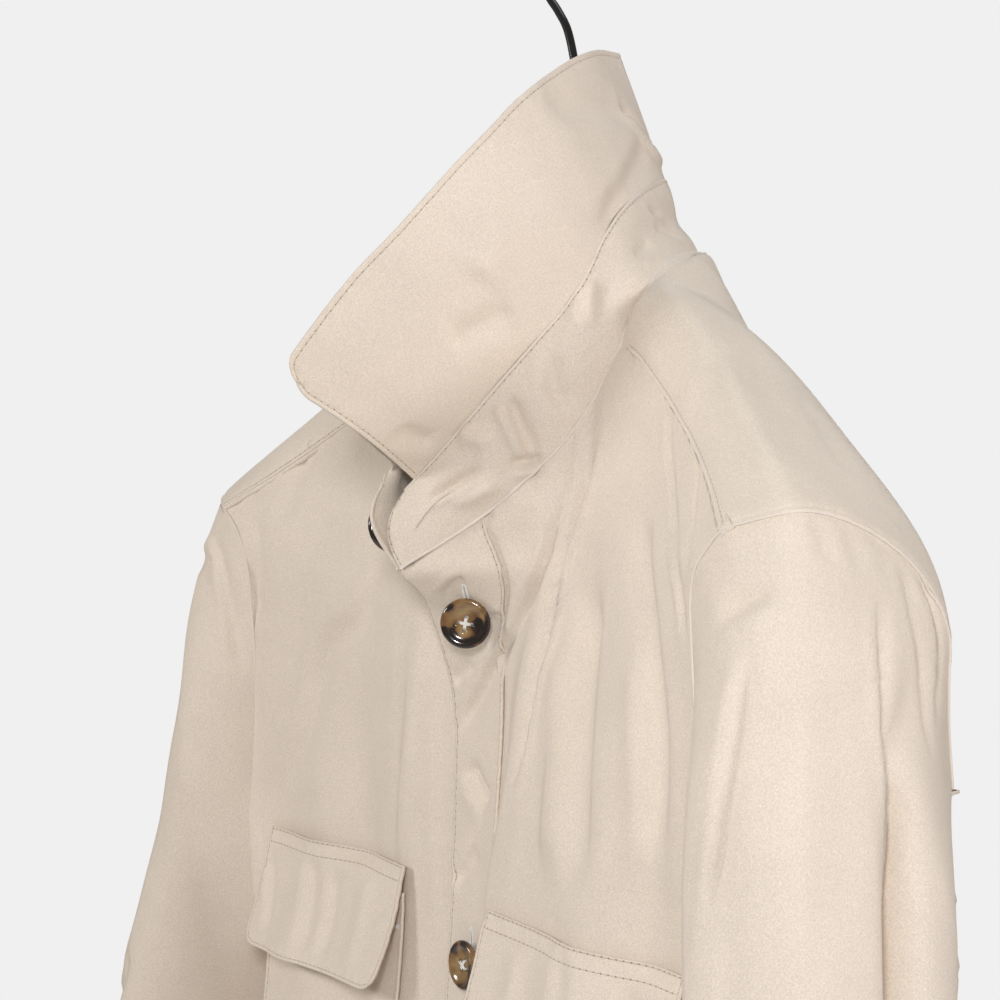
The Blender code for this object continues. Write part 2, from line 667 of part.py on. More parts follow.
def on_front(side, x, z, layers):
    """Point of something that lies on a front, some layers out from it."""
    return np.array([side * x, front_depth(side * x, z, side) - layers, z])


def pocket(side):
    """Patch pocket on a front."""
    start = 54.0

    def surface(u, v):
        cut = 9.0 * smooth((v - 0.9) / 0.1)
        x = start + cut * (1 - 2 * u) + POCKET_WIDTH * u
        z = POCKET_TOP_Z - POCKET_HEIGHT * v - FLAP_FALL[side] * POCKET_WIDTH * u
        return on_front(side, x, z, POCKET_OUT)

    return surface


def flap(side):
    """Pocket flap: held along its top, standing away along its lower edge."""
    start = 52.0

    def surface(u, v):
        inward = np.sign(0.5 - u) * smooth(abs(2 * u - 1) * 3 - 2)
        x = start + FLAP_WIDTH * u + 4.0 * smooth((v - 0.72) / 0.28) * inward
        lift = 7.0 * smooth((abs(2 * u - 1) - 0.80) / 0.20) * smooth((v - 0.6) / 0.4)
        z = FLAP_TOP_Z - FLAP_HEIGHT * v + lift - FLAP_FALL[side] * FLAP_WIDTH * u
        over = smooth(v / 0.2)
        sewn = FLAP_SEAT if side > 0 else FLAP_SEAT + 0.7
        p = on_front(side, x, z, sewn + (POCKET_OUT + STEP - sewn) * over)
        p[1] -= FLAP_FLARE * v ** 1.4 * (0.8 + 0.2 * (1.0 - u))
        return p

    return surface


# ---------------------------------------------------------------- making the objects

def material(name, kind):
    colour, roughness, metallic = COLOURS[kind]
    mat = bpy.data.materials.new(name)
    mat.use_nodes = True
    shader = mat.node_tree.nodes["Principled BSDF"]
    shader.inputs["Base Color"].default_value = (*colour, 1.0)
    shader.inputs["Roughness"].default_value = roughness
    shader.inputs["Metallic"].default_value = metallic
    return mat


def add_object(name, mesh, kind, collection):
    obj = bpy.data.objects.new(name, mesh)
    mesh.materials.append(material(name, kind))
    collection.objects.link(obj)
    return obj


def cloth(name, surface, us, vs, collection, closed=False, flip=False):
    """An open grid laid on a surface and thickened inwards."""
    bm = bmesh.new()
    vs = np.minimum(vs, 1.0)
    grid = [[bm.verts.new(np.asarray(surface(u, v)) * MM) for u in us] for v in vs]
    cols = len(us)
    for j in range(len(vs) - 1):
        for i in range(cols if closed else cols - 1):
            k = (i + 1) % cols
            quad = [grid[j][i], grid[j + 1][i], grid[j + 1][k], grid[j][k]]
            bm.faces.new(quad[::-1] if flip else quad)
    mesh = bpy.data.meshes.new(name)
    bm.to_mesh(mesh)
    bm.free()
    mesh.shade_smooth()
    obj = add_object(name, mesh, "cloth", collection)
    solid = obj.modifiers.new("Wall", "SOLIDIFY")
    solid.thickness = CLOTH * MM
    solid.offset = -1.0
    return obj


def draw_in(values, start, end):
    """The same parameters with the first and the last drawn in, to open a seam."""
    values = np.array(values, float)
    values[0] += start
    values[-1] -= end
    return values


def spread(count, start_gap, end_gap, length):
    """Even parameters from 0 to 1, drawn in at both ends by gaps in millimetres."""
    return np.linspace(start_gap / length, 1.0 - end_gap / length, count)


def button(name, centre, normal, collection, radius=BUTTON_RADIUS):
    """A turned button: a dished disc with a raised rim, its axis along a normal."""
    half = BUTTON_THICK / 2
    profile = [(0.0, half - 1.1), (radius * 0.62, half - 1.1), (radius * 0.74, half),
               (radius * 0.90, half), (radius, half - 0.9), (radius * 0.93, -half + 0.6),
               (radius * 0.7, -half), (0.0, -half)]
    bm = bmesh.new()
    verts = [bm.verts.new((r * MM, 0.0, z * MM)) for r, z in profile]
    edges = [bm.edges.new(pair) for pair in zip(verts, verts[1:])]
    bmesh.ops.spin(bm, geom=verts + edges, axis=(0, 0, 1), cent=(0, 0, 0),
                   steps=16, angle=2 * np.pi, use_duplicate=False)
    bmesh.ops.remove_doubles(bm, verts=bm.verts, dist=1e-6)
    bmesh.ops.recalc_face_normals(bm, faces=bm.faces)
    mesh = bpy.data.meshes.new(name)
    bm.to_mesh(mesh)
    bm.free()
    obj = add_object(name, mesh, "button", collection)
    obj.rotation_mode = "QUATERNION"
    obj.rotation_quaternion = Vector(normal).to_track_quat("Z", "Y")
    obj.location = [c * MM for c in centre]
    return obj


def seat(obj, base, normal):
    """Slide a button along its axis until it lies LAYER above what carries it."""
    bpy.context.view_layer.update()
    tree = BVHTree.FromObject(base, bpy.context.evaluated_depsgraph_get())
    normal = Vector(normal)
    back = [obj.matrix_world @ v.co + normal * 0.02 for v in obj.data.vertices if v.co.z < 0.0]
    disc = [a.lerp(b, t) for a in back for b in back[::5] for t in (0.25, 0.5)]
    falls = [tree.ray_cast(point, -normal)[3] for point in back + disc]
    clear = min(fall for fall in falls if fall is not None) - 0.02
    obj.location -= normal * (clear - (LAYER + 0.05) * MM)


def seat_button(name, row, base, collection):
    """Seat a button on the left placket, turned the way that the row says."""
    normal = np.array([row.face_x, -1.0, row.face_z])
    normal = normal / np.linalg.norm(normal)
    foot = np.array([row.x, front_depth(row.x, row.z, 1), row.z])
    seat(button(name, foot + normal * 9.0, normal, collection), base, normal)


def button_on(surface, name, u, v, outward, base, collection):
    """Seat a button on any surface at (u, v), on the side that outward points to."""
    d = 0.004
    foot = surface(u, v)
    normal = np.cross(surface(u + d, v) - surface(u - d, v),
                      surface(u, v + 0.1) - surface(u, v - 0.1))
    normal = normal / np.linalg.norm(normal)
    if np.dot(normal, outward) < 0:
        normal = -normal
    seat(button(name, foot + normal * 9.0, normal, collection), base, normal)


def hanger_body(collection):
    """One arm as a loft of rounded sections, mirrored about the middle."""
    bm = bmesh.new()
    xs = np.linspace(0.0, HANGER[-1].x, 17)
    rings = []
    for x in xs:
        row = {n: float(column(HANGER, "x", n, x)) for n in Arm._fields[1:]}
        ring = []
        for k in range(10):
            a = 2 * np.pi * (k + 0.5) / 10
            c, s = np.cos(a), np.sin(a)
            y = row["y"] + 0.5 * row["thick_y"] * np.sign(c) * abs(c) ** 0.7
            z = row["top"] - 0.5 * row["thick_z"] * (1.0 - np.sign(s) * abs(s) ** 0.7)
            ring.append(bm.verts.new((x * MM, y * MM, z * MM)))
        rings.append(ring)
    for a, b in zip(rings, rings[1:]):
        for k in range(10):
            n = (k + 1) % 10
            bm.faces.new((a[k], b[k], b[n], a[n]))
    bm.faces.new(rings[-1])
    bmesh.ops.recalc_face_normals(bm, faces=bm.faces)
    mesh = bpy.data.meshes.new("hanger_body")
    bm.to_mesh(mesh)
    bm.free()
    obj = add_object("hanger_body", mesh, "hanger", collection)
    mirror = obj.modifiers.new("Mirror", "MIRROR")
    mirror.use_axis[0] = True
    mirror.merge_threshold = 0.0001
    return obj


def hook(collection):
    """The wire hook, a POLY spline through the route."""
    fine = np.linspace(0.0, 1.0, 26)
    xs = catmull([p.x for p in HOOK], fine)
    zs = catmull([p.z for p in HOOK], fine)
    data = bpy.data.curves.new("hanger_hook", "CURVE")
    data.dimensions = "3D"
    data.bevel_depth = HOOK_WIRE / 2 * MM
    data.bevel_resolution = 2
    data.use_fill_caps = True
    spline = data.splines.new("POLY")
    spline.points.add(len(fine) - 1)
    for point, x, z in zip(spline.points, xs, zs):
        point.co = (x * MM, 0.0, z * MM, 1.0)
    obj = bpy.data.objects.new("hanger_hook", data)
    data.materials.append(material("hanger_hook", "wire"))
    collection.objects.link(obj)
    return obj


def catmull(values, t):
    """Catmull-Rom line through evenly numbered values."""
    v = np.asarray(values, float)
    v = np.concatenate([[2 * v[0] - v[1]], v, [2 * v[-1] - v[-2]]])
    pos = np.asarray(t) * (len(v) - 3)
    i = np.clip(pos.astype(int), 0, len(v) - 4)
    f = pos - i
    a, b, c, d = v[i], v[i + 1], v[i + 2], v[i + 3]
    return 0.5 * (2 * b + (c - a) * f + (2 * a - 5 * b + 4 * c - d) * f ** 2
                  + (3 * b - a - 3 * c + d) * f ** 3)


def build():
    for obj in list(bpy.data.objects):
        bpy.data.objects.remove(obj, do_unlink=True)
    shirt = bpy.data.collections.new("overshirt")
    bpy.context.scene.collection.children.link(shirt)

    back_u = np.linspace(-1.0, 1.0, 25)
    back_u[0], back_u[-1] = -0.9965, 0.9965
    cloth("back", back_panel, back_u, draw_in(BACK_ROWS, 0.003, 0.0), shirt)
    half = yoke_columns()
    yoke_u = [-u for u in half[:0:-1]] + half
    yoke_u[0], yoke_u[-1] = -0.996, 0.996
    cloth("yoke", yoke, yoke_u, draw_in(YOKE_ROWS, 0.003, 0.004), shirt)
    front_u = (np.array(FRONT_TOP_X) - FRONT_START) / (191.0 - FRONT_START)
    rows = draw_in(FRONT_ROWS, 0.0028, 0.0)
    for side, word in ((1, "left"), (-1, "right")):
        cloth("front_" + word, front_panel(side), draw_in(front_u, 0.0, 0.0038), rows,
              shirt, flip=side < 0)
        cloth("sleeve_" + word, sleeve(side), around_armhole(side),
              0.0015 + 0.998 * np.linspace(0.0, 1.0, 14) ** 1.1, shirt, closed=True,
              flip=side < 0)
        cloth("cuff_" + word, cuff(side), np.linspace(0.0, 1.0, 25)[:-1],
              spread(3, SEAM, 0.0, CUFF_HEIGHT), shirt, closed=True, flip=side < 0)
        cloth("placket_" + word, placket(side), np.linspace(0.0, 1.0, 8),
              rows, shirt, flip=side < 0)
        cloth("pocket_" + word, pocket(side), np.linspace(0.0, 1.0, 9),
              np.linspace(0.0, 1.0, 8), shirt, flip=side < 0)
        cloth("flap_" + word, flap(side), np.linspace(0.0, 1.0, 10),
              [0.0, 0.2, 0.45, 0.72, 0.88, 1.0], shirt, flip=side < 0)
    collar_u = [s - 1.0 for s in STAND_S] + [1.0 - s for s in STAND_S[-2::-1]]
    cloth("collar_stand", stand, collar_u, spread(4, 0.3, 0.3, 30.0), shirt)
    cloth("collar_leaf", leaf, collar_u, spread(6, 0.3, 0.0, 60.0), shirt)
    hanger_body(shirt)
    hook(shirt)
    placket_left = shirt.objects["placket_left"]
    for n, row in enumerate(FRONT_BUTTONS):
        seat_button("button_front_%d" % (n + 1), row, placket_left, shirt)
    button_on(stand, "button_stand", -0.965, 0.30, (-1.0, -0.6, 0.0),
              shirt.objects["collar_stand"], shirt)
    for side, word in ((1, "left"), (-1, "right")):
        button_on(cuff(side), "button_cuff_" + word, 0.62, 0.5, (side, 0.3, 0.0),
                  shirt.objects["cuff_" + word], shirt)


build()
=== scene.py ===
"""Looks of the overshirt on its hanger: fine cloth shells over the CAD solids, with
their creases, topstitching, buttonholes and buttons.

Tables and constants are in millimetres; the meshes are made in metres. The surfaces are
the ones that part.py makes its solids from, sampled finer here.
"""
from bisect import bisect_right
from collections import namedtuple

import bmesh
import bpy
import numpy as np
from mathutils import Matrix, Quaternion, Vector


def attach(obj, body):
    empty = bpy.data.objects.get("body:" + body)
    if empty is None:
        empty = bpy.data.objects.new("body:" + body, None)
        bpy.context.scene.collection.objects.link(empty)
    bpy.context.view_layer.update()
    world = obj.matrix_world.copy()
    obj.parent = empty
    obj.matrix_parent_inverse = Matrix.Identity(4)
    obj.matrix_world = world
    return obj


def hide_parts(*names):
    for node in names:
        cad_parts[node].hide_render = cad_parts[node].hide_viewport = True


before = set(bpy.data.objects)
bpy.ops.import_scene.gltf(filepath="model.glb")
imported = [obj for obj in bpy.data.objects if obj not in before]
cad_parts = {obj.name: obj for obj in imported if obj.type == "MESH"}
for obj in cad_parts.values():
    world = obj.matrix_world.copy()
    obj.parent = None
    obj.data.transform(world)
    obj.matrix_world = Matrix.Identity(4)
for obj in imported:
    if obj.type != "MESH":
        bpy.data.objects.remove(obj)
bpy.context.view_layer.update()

MM = 0.001
CLOTH = 1.3                # cloth wall
LAYER = 0.3                # gap between a piece and the panel that it lies on
STEP = CLOTH + LAYER       # depth from one layer to the next
PLACKET_WIDTH = 35.0
HEM_Z = -850.0
UNDERARM_Z = -474.0
SLEEVE_END_Z = -780.0
CUFF_HEIGHT = 62.0
BUTTON_RADIUS = 10.25
POCKET_WIDTH = 114.0
POCKET_HEIGHT = 142.0
POCKET_TOP_Z = -404.0
FLAP_WIDTH = 118.0
FLAP_HEIGHT = 52.0
FLAP_TOP_Z = -392.0
FLAP_FLARE = 14.0          # how far its lower edge stands away
FLAP_FALL = {1: 0.05, -1: -0.02}    # slope of each side's pocket and flap, down outwards
POCKET_OUT = 2.9           # outside of a pocket above its front
FLAP_SEAT = 2.6            # outside of a flap above its front along the sewn edge
HOOK_WIRE = 3.5


def table(kind, rows):
    return [kind(*row) for row in rows]


# Neck seam, half way round from the front end to the nape: where the stand starts.
Rail = namedtuple("Rail", "s x y z")
NECK = table(Rail, [
    (0, 1, -81, -264), (0.05, 12, -75, -255.5), (0.15, 30, -61, -241), (0.26, 48, -50.5, -225),
    (0.36, 60, -40, -209), (0.47, 69, -29, -186), (0.55, 73.5, -23.5, -170),
    (0.62, 73, -15, -156), (0.72, 64, 2, -143), (0.83, 46, 26, -135.5), (0.92, 22, 51, -132.5),
    (1, 0, 63, -132),
])
# Crease between the stand and the leaf, on the wearer's left.
STAND_TOP = table(Rail, [
    (0, 3, -81, -231), (0.05, 12, -76, -221.5), (0.15, 28, -70, -206), (0.26, 42, -62.5, -190),
    (0.36, 54, -52.5, -173), (0.47, 62, -41.5, -157), (0.55, 65, -34, -144),
    (0.62, 64, -27, -132), (0.72, 56, -10.5, -118), (0.83, 41, 10, -109), (0.92, 20, 34, -102.5),
    (1, 0, 50, -101),
])
# Outer edge of the standing leaf: the left one flares forwards, the right one leans in.
LEAF_LEFT = table(Rail, [
    (0, 21, -147, -188), (0.05, 26, -144.5, -180), (0.15, 34, -139, -168), (0.26, 46, -129, -150),
    (0.36, 57, -116.5, -133), (0.47, 66, -100, -112), (0.55, 70, -83, -94), (0.62, 67, -68, -81),
    (0.72, 56, -47, -69), (0.83, 39, -22, -58), (0.92, 19, 3, -51), (1, 0, 26, -48),
])
LEAF_RIGHT = table(Rail, [
    (0, -8, -121, -189), (0.05, -8, -118, -182), (0.15, -9, -110, -170), (0.26, -12, -99, -154),
    (0.36, -16, -86, -141), (0.47, -22, -70, -127), (0.55, -26, -56, -114),
    (0.62, -29, -43, -102), (0.72, -31, -22, -84), (0.83, -26, -3, -68), (0.92, -14, 13, -55),
    (1, 0, 26, -48),
])

# The yoke's sections, from the neck or the front seam over the ridge to the back seam.
Arch = namedtuple("Arch", "u x y z ridge_x ridge_y ridge_z back_x back_y back_z")
YOKE = table(Arch, [
    (0, 0, 64, -132.5, 0, 64.5, -133.5, 0, 68, -232),
    (0.12, 23, 51.5, -133, 23.5, 53, -134, 25, 68, -232.5),
    (0.24, 47, 26.5, -136, 48, 28, -137, 50, 67.5, -234),
    (0.33, 65, 2.5, -143.5, 66.5, 6, -145, 70, 66, -236.5),
    (0.385, 74, -15, -156, 76, -5, -150.5, 84, 64.5, -239),
    (0.42, 73.5, -23.5, -170, 80, -8, -152.5, 91, 63.5, -240.5),
    (0.5, 90, -27.5, -181, 94, -13, -158, 106, 61.5, -244.5),
    (0.6, 111, -31.5, -194.5, 115, -17, -170, 126, 58, -251),
    (0.72, 136, -39, -209, 141, -24, -187, 149, 53.5, -260.5),
    (0.86, 164, -51.5, -225.5, 175, -36, -209.5, 174, 46.5, -274),
    (1, 191, -66.5, -242, 213, -49, -235.5, 196, 32, -291),
])
NECK_PLACE = [1, 0.92, 0.83, 0.72, 0.62, 0.55]    # s of the neck seam at the first six

# Depth of the buttoned front at each height, from the right armhole to the left one.
Front = namedtuple("Front", "z r175 r110 r55 r19 mid l19 l50 l110 l175")
FRONT = table(Front, [
    (-171, -52, -29, -22, -30, -34, -30, -20, -29, -52),
    (-195, -52, -31.5, -31, -38, -40, -38, -32, -31.5, -52),
    (-215, -53, -36, -37, -42, -43, -42, -38, -36, -53),
    (-240, -60, -43, -40, -43, -43.5, -43, -40, -43, -60),
    (-257, -64, -46, -42, -43, -43, -43, -42, -48, -66),
    (-281, -60, -49, -45, -43, -43, -43, -45, -53, -66),
    (-320, -55, -48, -46, -44, -43.5, -44, -57, -61, -66),
    (-357, -52, -47, -46, -45, -44.5, -46.7, -65, -68, -65),
    (-392, -49, -46, -45, -46, -46, -50.5, -70.5, -71.5, -62.5),
    (-450, -53, -52, -50, -50, -50, -55.5, -72, -73, -64),
    (-520, -60, -60, -59, -55, -55, -57.5, -70, -72, -66),
    (-640, -64, -67, -65, -59, -58, -60, -66, -69, -66),
    (-850, -62, -66, -64, -60, -60, -60, -63, -66, -62),
])
FRONT_X = [-175, -110, -55, -19, 0, 19, 50, 110, 175]

# Places of the left placket's buttons.
Point = namedtuple("Point", "x z")
FRONT_BUTTONS = table(Point, [
    (7, -283.5), (0, -425), (0, -562), (0, -699),
])

# The upper corner of the fronts rolls forward with the open stand: how far, and how wide.
Roll = namedtuple("Roll", "z left left_wide right right_wide")
ROLL = table(Roll, [
    (-235, 37, 38, 37, 38), (-241, 37, 36, 37, 36), (-257, 36.5, 31, 36, 25),
    (-264, 36, 31, 33, 21), (-270, 29.5, 31, 24, 19), (-281, 18.5, 30, 10, 17),
    (-290, 12.5, 29, 4, 16), (-300, 7.5, 26, 1, 15), (-312, 3, 22, 0, 15), (-330, 0, 18, 0, 15),
])

# Depth of the back at each height: in the middle, half way out and at the armhole.
Back = namedtuple("Back", "z mid half edge")
BACK = table(Back, [
    (-232, 68, 62.5, 44), (-290, 72, 67, 40), (-340, 74, 70, 45.5), (-380, 75, 71.5, 50),
    (-420, 75.5, 73, 56), (-470, 76, 73, 60), (-520, 75, 72, 62), (-640, 70, 69, 62),
    (-850, 64, 64, 60),
])
BACK_X = [0, 95, 178]

# Half width of the fronts and the back: the armhole down to the underarm, then the side seam.
# A front's edge turns to side_y by the share "turn"; the wearer's right hangs a little wider.
Edge = namedtuple("Edge", "z front back side_y corner turn right")
SIDE = table(Edge, [
    (-242, 191, 196, -10, 0, 0, 0), (-250, 182, 196, -10, 0, 0, 0),
    (-257, 176, 196, -10, 0, 0, 0.5), (-267, 173, 196, -10, 0, 0, 1),
    (-291, 175, 196, -10, 0, 0, 2), (-320, 177, 190, -10, 0, 0, 4),
    (-380, 180, 184, -10, 2, 0, 9), (-430, 182, 182, -10, 18, 0.4, 11),
    (-455, 185, 185, -10, 36, 1, 12.4), (-474, 187, 187, -10, 50, 1, 14),
    (-520, 192, 192, -5, 58, 1, 13), (-640, 204, 204, -2, 58, 1, 8),
    (-850, 226, 226, 0, 58, 1, 0),
])

# Long soft folds: depth is positive where the cloth stands out.
Fold = namedtuple("Fold", "x_top z_top x_low z_low width depth")
FRONT_FOLDS = table(Fold, [
    (58, -215, 42, -330, 9, 3.5), (84, -230, 70, -400, 12, -3), (118, -245, 112, -520, 16, 3.5),
    (150, -300, 152, -620, 12, -3.5), (40, -430, 44, -850, 15, 5.5), (86, -500, 92, -850, 15, -6),
    (132, -480, 140, -850, 17, 6.5), (180, -560, 186, -850, 12, -5),
    (-62, -240, -44, -440, 15, 3), (-98, -270, -86, -520, 17, -4),
    (-132, -300, -128, -560, 17, 3.5), (-50, -470, -48, -850, 16, 5),
    (-92, -520, -96, -850, 16, -6), (-140, -500, -144, -850, 16, 6),
    (-184, -560, -190, -850, 12, -5), (-190, -335, -200, -600, 13, 8),
])
BACK_FOLDS = table(Fold, [
    (0, -250, 4, -850, 20, 6.5), (36, -300, 42, -850, 16, -7), (78, -260, 84, -850, 17, 6.5),
    (118, -330, 130, -850, 16, -7.5), (152, -300, 172, -850, 15, 6),
    (-40, -290, -40, -850, 16, -6.5), (-82, -260, -88, -850, 18, 7),
    (-122, -320, -132, -850, 15, -7), (-156, -320, -176, -850, 14, 6),
])

# The sleeve hangs as a flattened tube: its centre line and half widths, and how far
# the right one hangs outwards and back from where the left one is.
Ring = namedtuple("Ring", "z x y half_x half_y out_x out_y")
SLEEVE = table(Ring, [
    (-236, 205, -27, 27, 52, 0, 3), (-300, 201, -32, 29, 54, 2, 8),
    (-384, 211, -38, 29, 54.5, 11.5, 9), (-480, 221, -44.5, 28.5, 54, 23, 1),
    (-620, 235, -55, 26, 51, 24, 0), (-740, 247, -64, 24, 48, 20, 0),
    (-842, 257, -71, 22, 46, 18, 0),
])

# Folds along the sleeve: place round the ring (0 underarm, 0.25 front, 0.5 outside).
Groove = namedtuple("Groove", "turn z_top z_low width depth")
SLEEVE_GROOVES = table(Groove, [
    (0.605, -262, -800, 5, -17), (0.38, -300, -700, 12, -3.5), (0.47, -250, -640, 15, 3),
    (0.045, -490, -790, 7, -13), (0.78, -330, -760, 12, -4),
])

# The hanger's arm under the shoulder, from the middle to the tip.
Arm = namedtuple("Arm", "x y top thick_y thick_z")
HANGER = table(Arm, [
    (0, 0, -118, 14, 34), (30, 1, -125, 14, 32), (60, 0, -147.5, 13, 30), (80, -5, -160, 13, 29),
    (115, -17, -173.9, 15, 27), (141, -24, -190.1, 16, 25), (175, -36, -212.9, 18, 23),
    (200, -44.5, -230, 18, 20),
])

HOOK = table(Point, [
    (5, -118.1), (5, -80), (5, -64), (3.1, -53), (-1.8, -40), (-9, -31), (-15.8, -24), (-19, -16),
    (-17, -8), (-10.5, -1.2), (0, 1.75), (10.5, -1.2), (17, -8), (19.5, -17), (18.5, -25),
])

# Rows from which the armhole's line is followed.
FRONT_START = 24.5
FRONT_ROWS = np.linspace(0.0, 1.0, 90) ** 1.3
YOKE_ROWS = np.linspace(0.0, 1.0, 40)
BACK_ROWS = np.linspace(0.0, 1.0, 60)


# ---------------------------------------------------------------- curves and tables

_slopes = {}


def hermite(xs, ys, ms, x):
    """Value at x of the smooth line through (xs, ys) with slopes ms."""
    if x <= xs[0]:
        return ys[0]
    if x >= xs[-1]:
        return ys[-1]
    i = bisect_right(xs, x) - 1
    h = xs[i + 1] - xs[i]
    t = (x - xs[i]) / h
    r = 1.0 - t
    return ((1 + 2 * t) * r * r * ys[i] + t * r * r * h * ms[i]
            + t * t * (3 - 2 * t) * ys[i + 1] - t * t * r * h * ms[i + 1])


def slopes(xs, ys):
    """Slopes that keep the line from overshooting between its rows."""
    h = [b - a for a, b in zip(xs, xs[1:])]
    d = [(b - a) / k for a, b, k in zip(ys, ys[1:], h)]
    ms = [d[0]] + [0.0] * (len(xs) - 2) + [d[-1]]
    for i in range(1, len(xs) - 1):
        if d[i - 1] * d[i] > 0:
            w1 = 2 * h[i] + h[i - 1]
            w2 = h[i] + 2 * h[i - 1]
            ms[i] = (w1 + w2) / (w1 / d[i - 1] + w2 / d[i])
    return ms


def curve(xs, ys, x):
    """Smooth line through a table, with no overshoot between its rows."""
    if np.ndim(x):
        return np.array([curve(xs, ys, one) for one in x])
    key = (tuple(xs), tuple(ys))
    if key not in _slopes:
        _slopes[key] = (list(xs), list(ys), slopes(xs, ys))
    return hermite(*_slopes[key], float(x))


def column(rows, key, name, x):
    """Value of one named column of a table at key = x."""
    found = (id(rows), key, name)
    if found not in _slopes:
        ordered = sorted(rows, key=lambda row: getattr(row, key))
        xs = [float(getattr(row, key)) for row in ordered]
        ys = [float(getattr(row, name)) for row in ordered]
        _slopes[found] = (xs, ys, slopes(xs, ys))
    return hermite(*_slopes[found], float(x))


def rail(rows, s):
    return np.array([column(rows, "s", axis, s) for axis in ("x", "y", "z")])


def smooth(t):
    t = np.clip(t, 0.0, 1.0)
    return t * t * (3.0 - 2.0 * t)


def unit(v):
    """Vectors along the last axis, made 1 long."""
    return v / np.maximum(np.linalg.norm(v, axis=-1, keepdims=True), 1e-9)


def distances(points):
    """Distance of each point of a line from its first one, along the line."""
    return np.concatenate([[0.0], np.cumsum(np.linalg.norm(np.diff(points, axis=0), axis=1))])


def catmull(values, t, wrap=False):
    """Catmull-Rom line through evenly numbered values, at shares t of its length."""
    v = np.asarray(values, float)
    before, after = (v[-2:-1], v[1:2]) if wrap else (2 * v[:1] - v[1:2], 2 * v[-1:] - v[-2:-1])
    v = np.concatenate([before, v, after])
    pos = np.asarray(t) * (len(v) - 3)
    i = np.clip(pos.astype(int), 0, len(v) - 4)
    f = (pos - i).reshape((-1,) + (1,) * (v.ndim - 1))
    a, b, c, d = v[i], v[i + 1], v[i + 2], v[i + 3]
    return 0.5 * (2 * b + (c - a) * f + (2 * a - 5 * b + 4 * c - d) * f ** 2
                  + (3 * b - a - 3 * c + d) * f ** 3)


def folds(rows, x, z):
    """How far the folds of a table push the cloth out at (x, z)."""
    out = 0.0
    for f in rows:
        t = (f.z_top - z) / (f.z_top - f.z_low)
        if t <= 0.0:
            continue
        line = f.x_top + (f.x_low - f.x_top) * min(t, 1.0)
        fade = smooth(t / 0.35)
        if f.z_low > HEM_Z:
            fade = fade * smooth((1.0 - t) / 0.35)
        out += f.depth * fade * np.exp(-((x - line) / f.width) ** 2)
    return out


# ---------------------------------------------------------------- the body

def front_top(x, axis="z"):
    """Height, or y, of a front's upper edge: the neck seam, then the yoke's front seam."""
    x = abs(x)
    rows = NECK[:7] if x <= NECK[6].x else YOKE[5:]
    return curve([r.x for r in rows], [getattr(r, axis) for r in rows], x)


def placket_edge(z):
    """x of the free edge of the left placket."""
    return curve([-310, -300, -290, -281, -270, -262],
                 [-18.5, -17.5, -15.5, -12.0, -4.5, 1.0], z)


def placket_seam(z):
    """x of the seam between the left placket and its front."""
    return placket_edge(z) + PLACKET_WIDTH - 6.0 * smooth((z + 275.0) / 30.0)


def roll(x, z, side):
    """How far the upper corner of the front comes forward at (x, z)."""
    if side > 0:
        away = max(x - placket_edge(z), 0.0)
        name = "left"
    else:
        away = abs(min(x, 0.0))
        name = "right"
    reach = column(ROLL, "z", name, z)
    wide = column(ROLL, "z", name + "_wide", z)
    return reach * np.exp(-(away / wide) ** 2)


def front_plain(x, z, side):
    across = [column(FRONT, "z", name, z) for name in Front._fields[1:]]
    edge = max(abs(x) - 175.0, 0.0)
    y = curve(FRONT_X, across, x) - 0.22 * edge * smooth((z + 300.0) / 40.0)
    return y - roll(x, z, side) - folds(FRONT_FOLDS, x, z)


def front_depth(x, z, side=0):
    """y of the outside of the buttoned front, drawn onto the seam along its top."""
    side = side or (1 if x > 0 else -1)
    top = front_top(max(abs(x), 1.0))
    below = top - z
    y = front_plain(x, z, side)
    if below < 30.0:
        at_top = front_plain(x, top, side)
        y += (front_top(max(abs(x), 1.0), "y") - at_top) * (1.0 - smooth(below / 30.0))
    return y


def under(x, z):
    """1 well below the neck seam and 0 on it, where the two fronts part."""
    return smooth((front_top(max(abs(x), 1.0)) - z) / 22.0)


def tuck(x, z, side):
    """How deep a front lies under the placket in front of it."""
    if side > 0:
        return 1.5 * (1.0 - smooth((x - placket_seam(z) - 0.5) / 3.0))
    deep = STEP * (1.0 + 0.8 * smooth((z + 325.0) / 30.0))
    deep += 1.2 * smooth((z + 312.0) / 20.0) + 2 * STEP * under(x, z)
    return deep * (1.0 - smooth((abs(x) - 32.0) / 30.0))


def back_depth(x, z):
    across = [column(BACK, "z", name, z) for name in Back._fields[1:]]
    edge = max(abs(x) - 178.0, 0.0)
    y = curve(BACK_X, across, abs(x)) - 0.45 * edge * smooth((z + 420.0) / 60.0)
    return y + folds(BACK_FOLDS, x, z)


def half_width(z, name, side):
    """Half width of the fronts or the back at height z, on one side."""
    wider = column(SIDE, "z", "right", z) if side < 0 else 0.0
    return column(SIDE, "z", name, z) + wider


def round_side(u, z, half, depth, turn=1.0):
    """Point of a half section: flat in the middle, rounded to the side seam."""
    r = column(SIDE, "z", "corner", z)
    side_y = column(SIDE, "z", "side_y", z)
    flat = half - r
    run = flat + 1.5 * r
    s = abs(u) * run
    sign = -1.0 if u < 0 else 1.0
    if s <= flat or r < 0.5:
        x = min(s, half)
        return np.array([sign * x, depth(sign * x, z), z])
    a = (s - flat) / (1.5 * r) * np.pi / 2
    x = flat + r * np.sin(a)
    y = depth(sign * x, z)
    return np.array([sign * x, y + (side_y - y) * turn * (1.0 - np.cos(a)), z])


def row_z(x_top, v):
    """Height of row v in a column of the front that starts at x_top."""
    z_top = front_top(x_top)
    return z_top + (HEM_Z - z_top) * v ** 1.25


